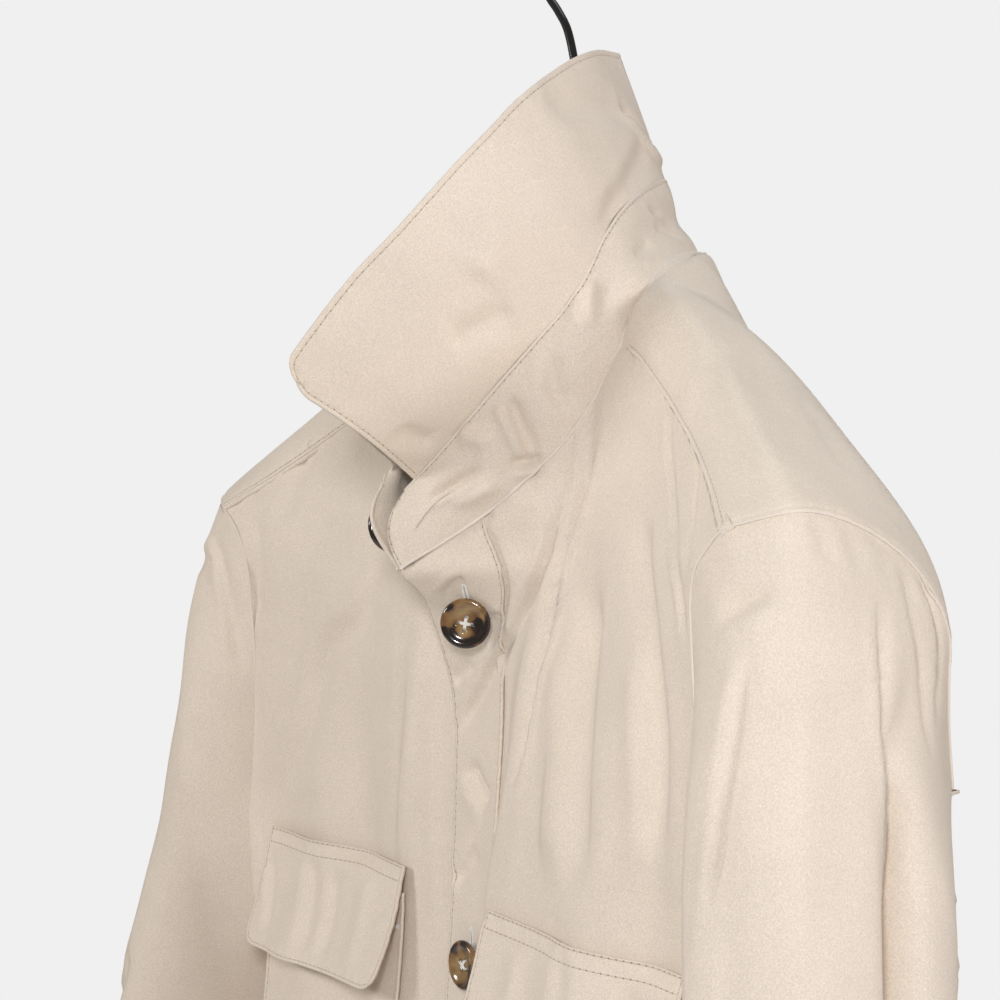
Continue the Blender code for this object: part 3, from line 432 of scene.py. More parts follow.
def front_start(z, side):
    """Distance from the middle at which a front starts, 5 mm under its placket."""
    if side > 0:
        return placket_seam(z) - 5.0
    return 16.0 + 8.5 * smooth((z + 275.0) / 30.0)


def front_panel(side):
    """Surface of one front; side is +1 for the wearer's left and -1 for the right."""

    def depth(x, z):
        return front_depth(x, z, side) + tuck(x, z, side)

    def surface(u, v):
        z = row_z(FRONT_START + (191.0 - FRONT_START) * u, v)
        half = half_width(z, "front", side)
        r = column(SIDE, "z", "corner", z)
        run = half + 0.5 * r
        start = front_start(z, side)
        arc = (start + (run - start) * u) / run
        return round_side(side * arc, z, half, depth, column(SIDE, "z", "turn", z))

    return surface


def back_panel(u, v):
    """Surface of the back, drawn onto the yoke's back seam; u runs from -1 to 1."""
    a = min(abs(u), 1.0)
    sign = -1.0 if u < 0 else 1.0
    seam = np.array([column(YOKE, "u", name, a) for name in ("back_x", "back_y", "back_z")])
    seam[0] = sign * seam[0]
    z = seam[2] + (HEM_Z - seam[2]) * v ** 1.2
    p = round_side(u, z, half_width(z, "back", sign), back_depth)
    top = round_side(u, seam[2], half_width(seam[2], "back", sign), back_depth)
    return p + (seam - top) * (1.0 - smooth((seam[2] - z) / 50.0))


def yoke(u, v):
    """Surface of the yoke; u from -1 to 1 across, v from the front or neck to the back."""
    a = min(abs(u), 1.0)
    row = {name: column(YOKE, "u", name, a) for name in Arch._fields[1:]}
    sign = -1.0 if u < 0 else 1.0
    if a <= YOKE[5].u:
        s = curve([r.u for r in YOKE[:6]], NECK_PLACE, a)
        row["x"], row["y"], row["z"] = rail(NECK, float(s))
    front = np.hypot(row["ridge_y"] - row["y"], row["ridge_z"] - row["z"])
    back = 1.15 * np.hypot(row["back_y"] - row["ridge_y"], row["back_z"] - row["ridge_z"])
    split = front / (front + back)
    if v < split:
        t = v / split
        lift = np.sin(t * np.pi / 2)
        x = row["x"] + (row["ridge_x"] - row["x"]) * lift
        y = row["y"] + (row["ridge_y"] - row["y"]) * t ** 1.25
        z = row["z"] + (row["ridge_z"] - row["z"]) * lift
    else:
        t = (v - split) / (1.0 - split)
        power = 1.7
        a = t * np.pi / 2
        across = np.sin(a) ** (2.0 / power)
        drop = 1.0 - np.cos(a) ** (2.0 / power)
        x = row["ridge_x"] + (row["back_x"] - row["ridge_x"]) * t
        y = row["ridge_y"] + (row["back_y"] - row["ridge_y"]) * across
        z = row["ridge_z"] + (row["back_z"] - row["ridge_z"]) * drop
    return np.array([sign * x, y, z])


# ---------------------------------------------------------------- sleeves

def armhole(side):
    """Corners once round an armhole: up the front, over the yoke, down the back."""
    front = front_panel(side)
    up = [front(1.0, v) for v in FRONT_ROWS[1:]]
    up = [p for p in up if p[2] > UNDERARM_Z + 8.0][::-1]
    over = [yoke(side, v) for v in YOKE_ROWS]
    down = [back_panel(side, v) for v in BACK_ROWS[1:]]
    down = [p for p in down if p[2] > UNDERARM_Z + 8.0]
    half = half_width(UNDERARM_Z, "front", side)
    under_arm = round_side(side, UNDERARM_Z, half, front_depth)
    points = np.array([under_arm] + up + over + down + [under_arm])
    run = distances(points)
    return points, run / run[-1]


def ring_point(turn, z, side):
    """Point of the sleeve's flattened ring, with its folds."""
    row = {name: column(SLEEVE, "z", name, z) for name in Ring._fields[1:]}
    if side < 0:
        row["x"] += row["out_x"]
        row["y"] += row["out_y"]
    a = np.pi - 0.42 + 2 * np.pi * turn
    c, s = np.cos(a), np.sin(a)
    x = row["x"] + row["half_x"] * np.sign(c) * abs(c) ** 0.85
    y = row["y"] + row["half_y"] * s
    push = 0.0
    for g in SLEEVE_GROOVES:
        away = (turn - g.turn + 0.5) % 1.0 - 0.5
        t = (g.z_top - z) / (g.z_top - g.z_low)
        fade = smooth(t / 0.25) * smooth((1.0 - t) / 0.2)
        push += g.depth * fade * np.exp(-(abs(away) * 264.0 / g.width) ** 1.5)
    n = np.array([c / row["half_x"], s / row["half_y"]])
    n = n / np.linalg.norm(n)
    return np.array([side * (x + push * n[0]), y + push * n[1]])


def sleeve(side):
    """Surface of a sleeve; u once round from the underarm, v from armhole to cuff."""
    points, run = armhole(side)

    def surface(u, v):
        start = np.array([np.interp(u, run, points[:, i]) for i in range(3)])
        z = start[2] + (SLEEVE_END_Z - start[2]) * v ** 1.35
        fall = (start[2] - z) / 46.0
        mix = np.sin(min(fall, 1.0) * np.pi / 2) ** 0.9
        ring = ring_point(u, z, side)
        x = start[0] + (ring[0] - start[0]) * mix
        y = start[1] + (ring[1] - start[1]) * mix
        return np.array([x, y, z])

    return surface


def cuff(side):
    def surface(u, v):
        z = SLEEVE_END_Z - CUFF_HEIGHT * v
        p = ring_point(u, min(z, -801.0), side)
        return np.array([p[0], p[1], z])
    return surface


# ---------------------------------------------------------------- collar, placket, pockets

def stand(u, v):
    """Collar stand; u from -1 at the right end to 1 at the left end."""
    s = 1.0 - abs(u)
    low, top = rail(NECK, s), rail(STAND_TOP, s)
    end = smooth((abs(u) - 0.93) / 0.07)
    p = low + (top - low) * v
    out = np.array([p[0], p[1] * 0.6, 0.0])
    out = out / max(np.linalg.norm(out), 1.0)
    bow = np.sin(np.pi * v)
    p = p + out * 3.0 * bow * (1.0 - end)
    p = p + end * bow * np.array([-4.0, -5.0, 0.0]) + end * (1.0 - v) * np.array([0.0, -1.2, 1.2])
    if u < 0:
        apart = smooth((abs(u) - 0.86) / 0.14)
        p = p * np.array([-1.0, 1.0, 1.0])
        p = p + apart * np.array([-4.0 - 3.0 * bow, -4.0 - 3.0 * bow, 1.0 + 3.0 * v])
    return p


def leaf(u, v):
    """Collar leaf; u from -1 at the right point to 1 at the left point."""
    s = 1.0 - abs(u)
    low = stand(u, 1.0)
    top = rail(LEAF_RIGHT if u < 0 else LEAF_LEFT, s)
    corner = smooth((abs(u) - 0.95) / 0.05)
    reach = v * (1.0 - 0.07 * corner * v)
    p = low + (top - low) * reach
    out = np.array([np.sign(u) * (0.5 + 0.5 * abs(u)), 0.3, 0.0])
    return p + out * 5.0 * np.sin(np.pi * v) * min(abs(u) * 3.0, 1.0)


def placket(side):
    """Strip down the centre; the left one lies outside the right one."""

    def left(u, v):
        z = row_z(1.0 + 28.0 * u, v)
        x = placket_edge(z) + (placket_seam(z) - placket_edge(z)) * u
        return np.array([x, front_depth(x, z, 1), z])

    def right(u, v):
        z = row_z(2.0 + 26.0 * u, v)
        inner = -21.0 - 8.0 * smooth((z + 275.0) / 30.0)
        free = curve([-325, -306, -290, -275, -262], [14.0, -11.0, -11.0, -8.0, -2.0], z)
        x = inner + (float(free) - inner) * (1.0 - u)
        y = front_depth(x, z, -1) if x < 0 else front_depth(x, z, 1)
        return np.array([x, y + 2 * STEP * under(x, z), z])

    return left if side > 0 else right


def on_front(side, x, z, layers):
    """Point of something that lies on a front, some layers out from it."""
    return np.array([side * x, front_depth(side * x, z, side) - layers, z])


def pocket(side):
    """Patch pocket on a front."""
    start = 54.0

    def surface(u, v):
        cut = 9.0 * smooth((v - 0.9) / 0.1)
        x = start + cut * (1 - 2 * u) + POCKET_WIDTH * u
        z = POCKET_TOP_Z - POCKET_HEIGHT * v - FLAP_FALL[side] * POCKET_WIDTH * u
        return on_front(side, x, z, POCKET_OUT)

    return surface


def flap(side):
    """Pocket flap: held along its top, standing away along its lower edge."""
    start = 52.0

    def surface(u, v):
        x = start + FLAP_WIDTH * u
        z = FLAP_TOP_Z - FLAP_HEIGHT * v - FLAP_FALL[side] * FLAP_WIDTH * u
        over = smooth(v / 0.2)
        sewn = FLAP_SEAT if side > 0 else FLAP_SEAT + 0.7
        p = on_front(side, x, z, sewn + (POCKET_OUT + STEP - sewn) * over)
        ends = [on_front(side, start + FLAP_WIDTH * k, z, POCKET_OUT + STEP)[1] for k in (0, 1)]
        straight = ends[0] + (ends[1] - ends[0]) * u
        p[1] += over * np.clip(0.7 * (straight - p[1]), -8.0, 1.0)
        p[1] -= FLAP_FLARE * v ** 1.4 * (0.8 + 0.2 * (1.0 - u))
        return p

    return surface


# ---------------------------------------------------------------- fine cloth shells

class Shell:
    """A fine grid of points on a surface, with its normals and distances from its edges."""

    def __init__(self, surface, us, vs, lift=0.0, flip=False, closed=False, grid=(60, 70)):
        coarse_u = (np.linspace(0.0, 1.0, grid[0] + 1) if closed
                    else np.linspace(us[0], us[-1], grid[0]))
        coarse_v = np.linspace(vs[0], vs[-1], grid[1])
        base = np.array([[surface(u, v) for u in coarse_u] for v in coarse_v])
        self.us, self.vs = np.array(us), np.array(vs)
        self.closed, self.flip = closed, flip
        self.p = between(base, coarse_u, coarse_v, self.us, self.vs, closed)
        if lift:
            self.p = self.p + self.normals() * lift
        self.n = self.normals()
        self.measure()

    def normals(self):
        p = self.p
        if self.closed:
            du = np.roll(p, -1, 1) - np.roll(p, 1, 1)
        else:
            du = np.gradient(p, axis=1)
        dv = np.gradient(p, axis=0)
        return unit(np.cross(du, dv) if self.flip else np.cross(dv, du))

    def measure(self):
        """Distances in mm from the four edges, along the grid."""
        across = np.linalg.norm(np.diff(self.p, axis=1), axis=2)
        down = np.linalg.norm(np.diff(self.p, axis=0), axis=2)
        zero = np.zeros((self.p.shape[0], 1))
        self.from_u0 = np.concatenate([zero, np.cumsum(across, 1)], 1)
        self.from_u1 = self.from_u0[:, -1:] - self.from_u0
        zero = np.zeros((1, self.p.shape[1]))
        self.from_v0 = np.concatenate([zero, np.cumsum(down, 0)], 0)
        self.from_v1 = self.from_v0[-1:, :] - self.from_v0

    def push(self, amount):
        """Move every point out along its normal, and turn the normals with them."""
        self.p = self.p + self.n * amount[:, :, None]
        self.n = self.normals()

    def rounded(self, edge_u, edge_v, radius):
        """Round one corner: rings about a point inside it, from squares to circles."""
        a, b = getattr(self, "from_" + edge_u), getattr(self, "from_" + edge_v)
        x, y = np.maximum(radius - a, 0.0), np.maximum(radius - b, 0.0)
        inside = (x > 0.0) & (y > 0.0)
        scale = np.where(inside, 1.0 - np.maximum(x, y) / np.maximum(np.hypot(x, y), 1e-6), 0.0)
        inward = []
        for axis, edge in ((1, edge_u), (0, edge_v)):
            inward.append(unit(np.gradient(self.p, axis=axis)
                               * (1.0 if edge[1] == "0" else -1.0)))
        self.p = (self.p + inward[0] * (x * scale)[:, :, None]
                  + inward[1] * (y * scale)[:, :, None])
        self.n = self.normals()

    def tucked(self, edges):
        """The grid with two more rows past each named edge, sunk under the next piece."""
        p = self.p
        for edge, reach, depth in edges:
            axis = 0 if edge[0] == "v" else 1
            q = p if axis == 0 else p.transpose(1, 0, 2)
            q = q if edge[1] == "0" else q[::-1]
            out = unit(q[0] - q[2])
            n = self.n if axis == 0 else self.n.transpose(1, 0, 2)
            n = n[0] if edge[1] == "0" else n[-1]
            if n.shape[0] != out.shape[0]:
                n = np.concatenate([n[:1]] * 2 + [n] + [n[-1:]] * 2)[:out.shape[0]]
            extra = [q[0] + out * reach - n * depth, q[0] + out * reach * 0.35 - n * depth * 0.6]
            q = np.concatenate([np.array(extra), q])
            q = q if edge[1] == "0" else q[::-1]
            p = q if axis == 0 else q.transpose(1, 0, 2)
        return p

    def at(self, u, v):
        """Point and normal at parameters, from the final grid."""
        j = np.interp(v, self.vs, np.arange(len(self.vs)))
        i = np.interp(u, self.us, np.arange(len(self.us)))
        j0, i0 = min(int(j), len(self.vs) - 2), min(int(i), len(self.us) - 2)
        a, b = j - j0, i - i0
        out = []
        for field in (self.p, self.n):
            out.append((1 - a) * ((1 - b) * field[j0, i0] + b * field[j0, i0 + 1])
                       + a * ((1 - b) * field[j0 + 1, i0] + b * field[j0 + 1, i0 + 1]))
        return out[0], unit(out[1])


def between(base, coarse_u, coarse_v, us, vs, closed):
    """Catmull-Rom interpolation of a grid at other parameters."""
    t, s = ((fine - coarse[0]) / (coarse[-1] - coarse[0])
            for fine, coarse in ((vs, coarse_v), (us, coarse_u)))
    rows = catmull(base, t)
    return catmull(rows.transpose(1, 0, 2), s, closed).transpose(1, 0, 2)


def paced(length, step):
    """Parameters from 0 to 1 spaced by step in mm, finer beside the stitched edges."""
    near = np.array([0.0, 0.5, 1.0, 1.5, 2.0, 2.5, 3.1, 4.0, 5.4])
    far = length - near[::-1]
    count = max(int(round((far[0] - near[-1]) / step)), 2)
    inner = np.linspace(near[-1], far[0], count + 1)
    out = np.concatenate([near[:-1], inner, far[1:]])
    out = np.unique(np.clip(out, 0.0, length).round(3))
    keep = [out[0]]
    for x in out[1:]:
        if x - keep[-1] > 0.3:
            keep.append(x)
    keep[-1] = length
    return np.array(keep) / length


def spline(points, count=48):
    fine = np.linspace(0.0, 1.0, count)
    return np.stack([catmull([p[k] for p in points], fine) for k in range(len(points[0]))], 1)


def apply_creases(shell, rows, chart):
    """Sum of the creases' relief at every point of the shell, by distance from each path."""
    total = np.zeros(shell.p.shape[:2])
    flat = shell.p.reshape(-1, 3)
    normals = shell.n.reshape(-1, 3)
    for row in rows:
        line = np.array([chart(a, b) for a, b in spline(row.path)])
        reach = row.width * 3.2
        lo, hi = line.min(0) - reach, line.max(0) + reach
        near = np.nonzero(((flat > lo) & (flat < hi)).all(1))[0]
        if not len(near):
            continue
        pts = flat[near]
        gap = np.linalg.norm(pts[:, None, :] - line[None], axis=2)
        k = gap.argmin(1)
        away = gap[np.arange(len(k)), k]
        tangent = unit(np.gradient(line, axis=0))
        side = np.einsum("ij,ij->i", np.cross(tangent[k], normals[near]), pts - line[k])
        t = k / (len(line) - 1.0)
        fade = smooth(t / 0.22) * smooth((1.0 - t) / 0.22)
        signed = away * np.sign(side) / row.width
        form = np.exp(-np.abs(signed) ** row.power)
        if row.lip:
            form = form - abs(row.lip) * np.exp(-(signed - 1.5 * np.sign(row.lip)) ** 2 / 0.6)
        total.reshape(-1)[near] += row.depth * fade * form
    return total


def waves(shell, seed, size, height):
    """Low seeded unevenness of hung cloth, from a few crossing soft waves."""
    rng = np.random.default_rng(seed)
    out = np.zeros(shell.p.shape[:2])
    for _ in range(7):
        direction = unit(rng.normal(size=3) * np.array([1.0, 0.8, 0.45]))
        length = size * rng.uniform(0.6, 1.7)
        out += np.sin(shell.p @ direction * 2 * np.pi / length + rng.uniform(0, 6.28))
    return out * height / 7.0 ** 0.5


def seam(distance, along, seed, puff=0.14, stitch=2.3, groove=0.22, pucker=0.2, low=0.0):
    """Relief beside a topstitched edge: a sunk stitch line, puckers, and the edge lowered."""
    rng = np.random.default_rng(seed)
    ripple = np.zeros_like(along)
    for _ in range(4):
        ripple += np.sin(along * 2 * np.pi / rng.uniform(5.0, 13.0) + rng.uniform(0, 6.28))
    near = np.exp(-(distance / 6.0) ** 2)
    return (puff * np.exp(-((distance - 0.9) / 0.9) ** 2) - low * np.exp(-(distance / 3.2) ** 2)
            - groove * np.exp(-((distance - stitch) / 0.55) ** 2)
            + pucker * 0.5 * ripple * near * np.exp(-((distance - 3.4) / 3.0) ** 2))


def new_mesh(name, verts, faces):
    mesh = bpy.data.meshes.new(name)
    mesh.from_pydata(verts, [], faces)
    return mesh


def put(name, data, material=None):
    """Put a mesh, a light or the camera in the scene; a mesh with a material is smooth."""
    if material:
        data.shade_smooth()
        data.materials.append(material)
    obj = bpy.data.objects.new(name, data)
    bpy.context.scene.collection.objects.link(obj)
    return obj


def closed_mesh(name, verts, faces, material):
    mesh = new_mesh(name, verts, faces)
    bm = bmesh.new()
    bm.from_mesh(mesh)
    bmesh.ops.recalc_face_normals(bm, faces=bm.faces)
    bm.to_mesh(mesh)
    bm.free()
    return put(name, mesh, material)


def loft(name, rings, material):
    """A closed skin over rings that have as many points each."""
    sides, last = len(rings[0]), len(rings) - 1
    faces = [(n * sides + k, n * sides + (k + 1) % sides, (n + 1) * sides + (k + 1) % sides,
              (n + 1) * sides + k) for n in range(last) for k in range(sides)]
    faces += [tuple(range(sides)), tuple(range(last * sides, (last + 1) * sides))]
    verts = [tuple(np.array(p) * MM) for ring in rings for p in ring]
    return closed_mesh(name, verts, faces, material)


def cloth_mesh(name, shell, tucks=()):
    """The shell as a piece: a quad grid with UVs in metres, thickened inwards."""
    p = shell.tucked(tucks)
    rows, cols = p.shape[:2]
    du, dv = distances(p[rows // 2]) * MM, distances(p[:, cols // 2]) * MM
    faces, uvs = [], []
    for j in range(rows - 1):
        for i in range(cols if shell.closed else cols - 1):
            k = (i + 1) % cols
            right = du[k] if k else 2 * du[-1] - du[-2]
            quad = [j * cols + i, (j + 1) * cols + i, (j + 1) * cols + k, j * cols + k]
            uv = [(du[i], dv[j]), (du[i], dv[j + 1]), (right, dv[j + 1]), (right, dv[j])]
            faces.append(quad[::-1] if shell.flip else quad)
            uvs.extend(uv[::-1] if shell.flip else uv)
    mesh = new_mesh(name, (p * MM).reshape(-1, 3).tolist(), faces)
    layer = mesh.uv_layers.new(name="cut")
    layer.data.foreach_set("uv", np.array(uvs, dtype=np.float32).ravel())
    obj = put(name, mesh, CLOTH_MAT)
    solid = obj.modifiers.new("Wall", "SOLIDIFY")
    solid.thickness = CLOTH * MM
    solid.offset = -1.0
    solid.use_rim = True
    return obj


# ---------------------------------------------------------------- threads

STITCH = 2.5               # length of a stitch
PITCH = 3.2                # from one stitch to the next
THREAD = 0.5               # width of the thread
HOLE_SHADE_LENGTH = PITCH - STITCH + 0.4     # a dash of painted shade for a needle's hole reaches 0.2 under both stitches
PROFILE = ((1.0, -0.2), (0.55, None), (-0.55, None), (-1.0, -0.2))    # None: the height


def capsules(name, segments, width, material, height=1.0):
    """Short rounded thread lengths as one mesh: (start, end, normal) for each."""
    verts, faces = [], []
    for a, b, n in segments:
        a, b, n = np.asarray(a), np.asarray(b), np.asarray(n)
        t = unit(b - a)
        s = unit(np.cross(t, n))
        first = len(verts)
        for q, scale in ((a, 0.45), (a + t * 0.3, 1.0), (b - t * 0.3, 1.0), (b, 0.45)):
            for x, y in PROFILE:
                y = height if y is None else y
                verts.append(tuple((q + s * x * scale * width / 2
                                    + n * y * scale * width / 2) * MM))
        for ring in range(3):
            for k in range(3):
                p = first + ring * 4 + k
                faces.append((p, p + 1, p + 5, p + 4))
        faces.append((first + 3, first + 2, first + 1, first))
        faces.append((first + 12, first + 13, first + 14, first + 15))
    return put(name, new_mesh(name, verts, faces), material)


def inset_line(shell, edge, inset, start=0.0, end=1.0):
    """Points and normals at a distance in mm from one edge of a shell."""
    fields = [getattr(shell, "from_" + edge), shell.p, shell.n]
    if edge[0] == "v":
        fields = [field.swapaxes(0, 1) for field in fields]
    last = len(fields[0]) - 1
    out = []
    for k, (d, p, n) in enumerate(zip(*fields)):
        if start * last <= k <= end * last:
            way = -1 if d[0] > d[-1] else 1
            out.append([np.interp(inset, d[::way], f[::way, m])
                        for f in (p, n) for m in range(3)])
    out = np.array(out)
    return out[:, :3], out[:, 3:]


def point_at(at, run, points):
    """Point of a line at a distance along it."""
    return np.array([np.interp(at, run, points[:, m]) for m in range(3)])


def stitches(points, normals, length, first=0.0):
    """Stitch segments at an even pitch along a line on the cloth."""
    run = distances(points)
    out = []
    at = first
    while at + length < run[-1]:
        out.append((point_at(at, run, points), point_at(at + length, run, points),
                    unit(point_at(at + length / 2, run, normals))))
        at += PITCH
    return out


# ---------------------------------------------------------------- materials

class Paint:
    """A material's nodes: a socket given as a value is linked, anything else is set.

    In a name, _ stands for a space, and _0, _1 and so on are inputs by number.
    """

    def __init__(self, name):
        self.material = bpy.data.materials.new(name)
        self.material.use_nodes = True
        self.tree = self.material.node_tree
        self.place = self.add("TexCoord").outputs["Object"]

    def set(self, node, **values):
        for key, value in values.items():
            name = int(key[1:]) if key[0] == "_" else key.replace("_", " ")
            if isinstance(value, bpy.types.NodeSocket):
                self.tree.links.new(value, node.inputs[name])
            elif isinstance(name, int) or name in node.inputs:
                node.inputs[name].default_value = value
            else:
                setattr(node, key, value)
        return node

    def add(self, kind, **values):
        return self.set(self.tree.nodes.new("ShaderNode" + kind), **values)

    def noise(self, **values):
        return self.add("TexNoise", Vector=self.place, **values).outputs["Fac"]

    def wave(self, way, **values):
        return self.add("TexWave", wave_type="BANDS", bands_direction=way,
                        **values).outputs["Fac"]

    def ramp(self, value, *stops):
        node = self.add("ValToRGB", Fac=value)
        while len(node.color_ramp.elements) < len(stops):
            node.color_ramp.elements.new(0.5)
        for element, (at, colour) in zip(node.color_ramp.elements, stops):
            element.position = at
            element.color = (*colour, 1.0)
        return node.outputs["Color"]

    def span(self, value, low, high, **values):
        return self.add("MapRange", Value=value, To_Min=low, To_Max=high,
                        **values).outputs["Result"]

    def bump(self, height, strength, distance, **values):
        return self.add("Bump", Height=height, Strength=strength, Distance=distance,
                        **values).outputs["Normal"]

    def finish(self, **values):
        self.set(self.tree.nodes["Principled BSDF"], **values)
        return self.material


def shade(colour, share):
    return [min(c * share, 1.0) for c in colour]


def sateen(name, base):
    """Fine cotton sateen: a soft sheen, a close weave, slight clouding of the dye, and specks
    in its colour that are partly the weave's grain and partly painted sparkle.
    """
    paint = Paint(name)
    cut = paint.add("UVMap", uv_map="cut").outputs["UV"]
    cloud = paint.noise(Scale=26.0, Detail=3.0, Roughness=0.6)
    grain = paint.noise(Scale=1500.0, Detail=2.0, Roughness=0.7)
    tone = paint.ramp(cloud, (0.3, shade(base, 0.965)), (0.72, shade(base, 1.025)))
    # Specks that lighten and darken the colour: partly the weave's grain, partly painted sparkle.
    grain_and_sparkle = paint.ramp(grain, (0.30, [0.84] * 3), (0.55, [0.97] * 3), (0.74, [1.10] * 3))
    colour = paint.add("Mix", data_type="RGBA", blend_type="MULTIPLY", _0=1.0, _6=tone,
                       _7=grain_and_sparkle)
    warp = paint.wave("X", Vector=cut, Scale=1150.0, Distortion=0.8, Detail=1.0)
    weft = paint.wave("Y", Vector=cut, Scale=820.0, Distortion=1.2, Detail=1.0)
    weave = paint.add("Math", operation="ADD", _0=warp, _1=weft).outputs[0]
    close = paint.add("Math", operation="MULTIPLY_ADD", _0=grain, _1=1.6, _2=weave).outputs[0]
    soft = paint.noise(Scale=58.0, Detail=4.0, Roughness=0.55)
    rumple = paint.bump(soft, 0.16, 0.004, Normal=paint.bump(close, 0.38, 0.00009))
    return paint.finish(
        Base_Color=colour.outputs[2], Normal=rumple, Roughness=paint.span(cloud, 0.46, 0.60),
        Specular_IOR_Level=0.42, Sheen_Weight=0.22, Sheen_Roughness=0.42,
        Sheen_Tint=(1.0, 0.97, 0.93, 1.0))


def thread(name, base):
    """Twisted thread: a fine diagonal twist in tone and relief."""
    paint = Paint(name)
    twist = paint.wave("DIAGONAL", Vector=paint.place, Scale=2600.0, Distortion=1.0)
    return paint.finish(
        Base_Color=paint.ramp(twist, (0.0, shade(base, 0.86)), (1.0, base)),
        Normal=paint.bump(twist, 0.5, 0.00006), Roughness=0.42, Sheen_Weight=0.3)


def tortoise():
    """Polished resin: near-black clouds in translucent amber brown."""
    paint = Paint("tortoise_resin")
    cloud = paint.noise(Scale=92.0, Detail=2.5, Roughness=0.45, Distortion=0.9)
    ring = paint.add("Attribute", attribute_name="ring").outputs["Fac"]
    rim = paint.span(ring, 0.11, -0.045, From_Min=0.42, From_Max=0.85)
    place = paint.add("Math", operation="ADD", _0=cloud, _1=rim).outputs[0]
    tone = paint.ramp(place, (0.43, (0.010, 0.007, 0.006)), (0.485, (0.035, 0.020, 0.012)),
                      (0.53, (0.15, 0.080, 0.030)), (0.64, (0.25, 0.150, 0.060)),
                      (0.80, (0.34, 0.25, 0.13)))
    wear = paint.noise(Scale=900.0, Detail=3.0)
    return paint.finish(
        Base_Color=tone, Roughness=paint.span(wear, 0.10, 0.26),
        Normal=paint.bump(wear, 0.05, 0.0001), Coat_Weight=0.6, Coat_Roughness=0.05,
        Subsurface_Weight=0.05)


def moulded(name, base, low, high, grain, depth):
    """Black plastic or coated wire: fine grain, uneven gloss."""
    paint = Paint(name)
    noise = paint.noise(Scale=grain, Detail=3.0, Roughness=0.6)
    return paint.finish(
        Base_Color=paint.ramp(noise, (0.3, shade(base, 0.8)), (0.7, shade(base, 1.25))),
        Roughness=paint.span(noise, low, high), Normal=paint.bump(noise, 0.3, depth))


CLOTH_MAT = sateen("cotton_sateen", (0.805, 0.702, 0.592))
SEWING = thread("sewing_thread", (0.66, 0.57, 0.46))
# Paler than the cloth so that the rolled seam edges read as bright lines: a painted highlight.
SEAM_HIGHLIGHT = thread("seam_highlight", (0.84, 0.755, 0.665))
# Dark brown for small dashes and strips where needle holes and slits hold only shade: painted
# shade.
GAP_SHADE = thread("gap_shade", (0.34, 0.27, 0.20))
WHITE_THREAD = thread("white_thread", (0.88, 0.86, 0.82))
RESIN = tortoise()
PLASTIC = moulded("hanger_plastic", (0.018, 0.018, 0.019), 0.32, 0.5, 700.0, 0.00015)
WIRE = moulded("coated_wire", (0.010, 0.010, 0.011), 0.14, 0.3, 400.0, 0.00008)


# ---------------------------------------------------------------- creases

# Creases drawn on the pieces, one to a row: width and depth in mm, power of the
# form, lip, then the path's points. Depth is positive where the cloth stands out; a lip
# raises the cloth beside the crease, by sign of the side. A path is in the piece's own
# chart: x and z in mm on the fronts, plackets and back, u and v in thousandths elsewhere.
Crease = namedtuple("Crease", "width depth power lip path")
UNIT, SHARE = 1, 1000


def creases(parts, rows):
    return [Crease(*row[:4], [(a / parts, b / parts) for a, b in zip(row[4::2], row[5::2])])
            for row in rows]


FRONT_CREASES = {1: creases(UNIT, [
    (2.6, -1.7, 1.1, 0.5,  57, -218, 52, -258, 38, -276, 24, -291, 12, -300),
    (2.8, -2.2, 1.1, -0.6,  72, -200, 71, -226, 61, -253, 57, -277, 56, -300, 56, -328, 52, -352),
    (2, -1.3, 1.2, 0.5,  63, -222, 58, -242, 47, -268, 32, -284),
    (2.4, -1.3, 1.3, 0.4,  68, -200, 68, -210, 68, -222, 67, -244),
    (9, -2.6, 2, 0.3,  80, -262, 86, -290, 96, -320, 108, -352, 112, -384),
    (8, 1.6, 2, 0,  65, -288, 74, -318, 84, -347, 90, -375),
    (8, -2.4, 1.8, -0.3,  108, -234, 120, -255, 138, -283, 148, -311, 150, -339, 148, -385),
    (1.9, -1.2, 1.1, 0.5,  113, -192, 119, -213, 140, -240, 161, -264, 169, -290),
    (2.2, -1.2, 1.2, -0.5,  146, -215, 153, -229, 160, -241, 170, -260),
    (8, 1.5, 2, 0,  128, -275, 136, -313, 142, -341, 146, -375),
    (7, -2, 1.7, 0.4,  40, -460, 48, -540, 46, -640),
    (8, 1.8, 2, 0,  120, -560, 112, -650, 118, -760),
    (6, -1.8, 1.5, -0.4,  190, -500, 176, -580, 180, -690),
    (7, -1.7, 1.8, 0.3,  66, -690, 78, -760, 74, -846),
]), -1: creases(UNIT, [
    (7, -1.8, 1.8, 0.4,  -74, -262, -95, -289, -122, -308, -140, -344, -169, -381),
    (4.5, -1.3, 1.6, 0.4,  -176, -242, -167, -257, -171, -277, -176, -300),
    (6, -0.9, 2, 0,  -148, -212, -152, -231, -153, -250),
    (6, -0.9, 2, 0,  -115, -205, -106, -228, -100, -246),
    (6.5, -1.6, 1.8, -0.4,  -50, -280, -57, -298, -60, -329, -66, -357, -74, -390),
    (5, 1.6, 1.8, 0,  -40, -285, -38, -341, -37, -388, -35, -440),
    (8, -1.8, 1.8, 0.4,  -60, -560, -70, -650, -64, -760),
    (8, 1.7, 2, 0,  -118, -580, -126, -690, -120, -800),
    (6, -1.7, 1.5, 0.4,  -188, -490, -180, -570, -184, -660),
])}
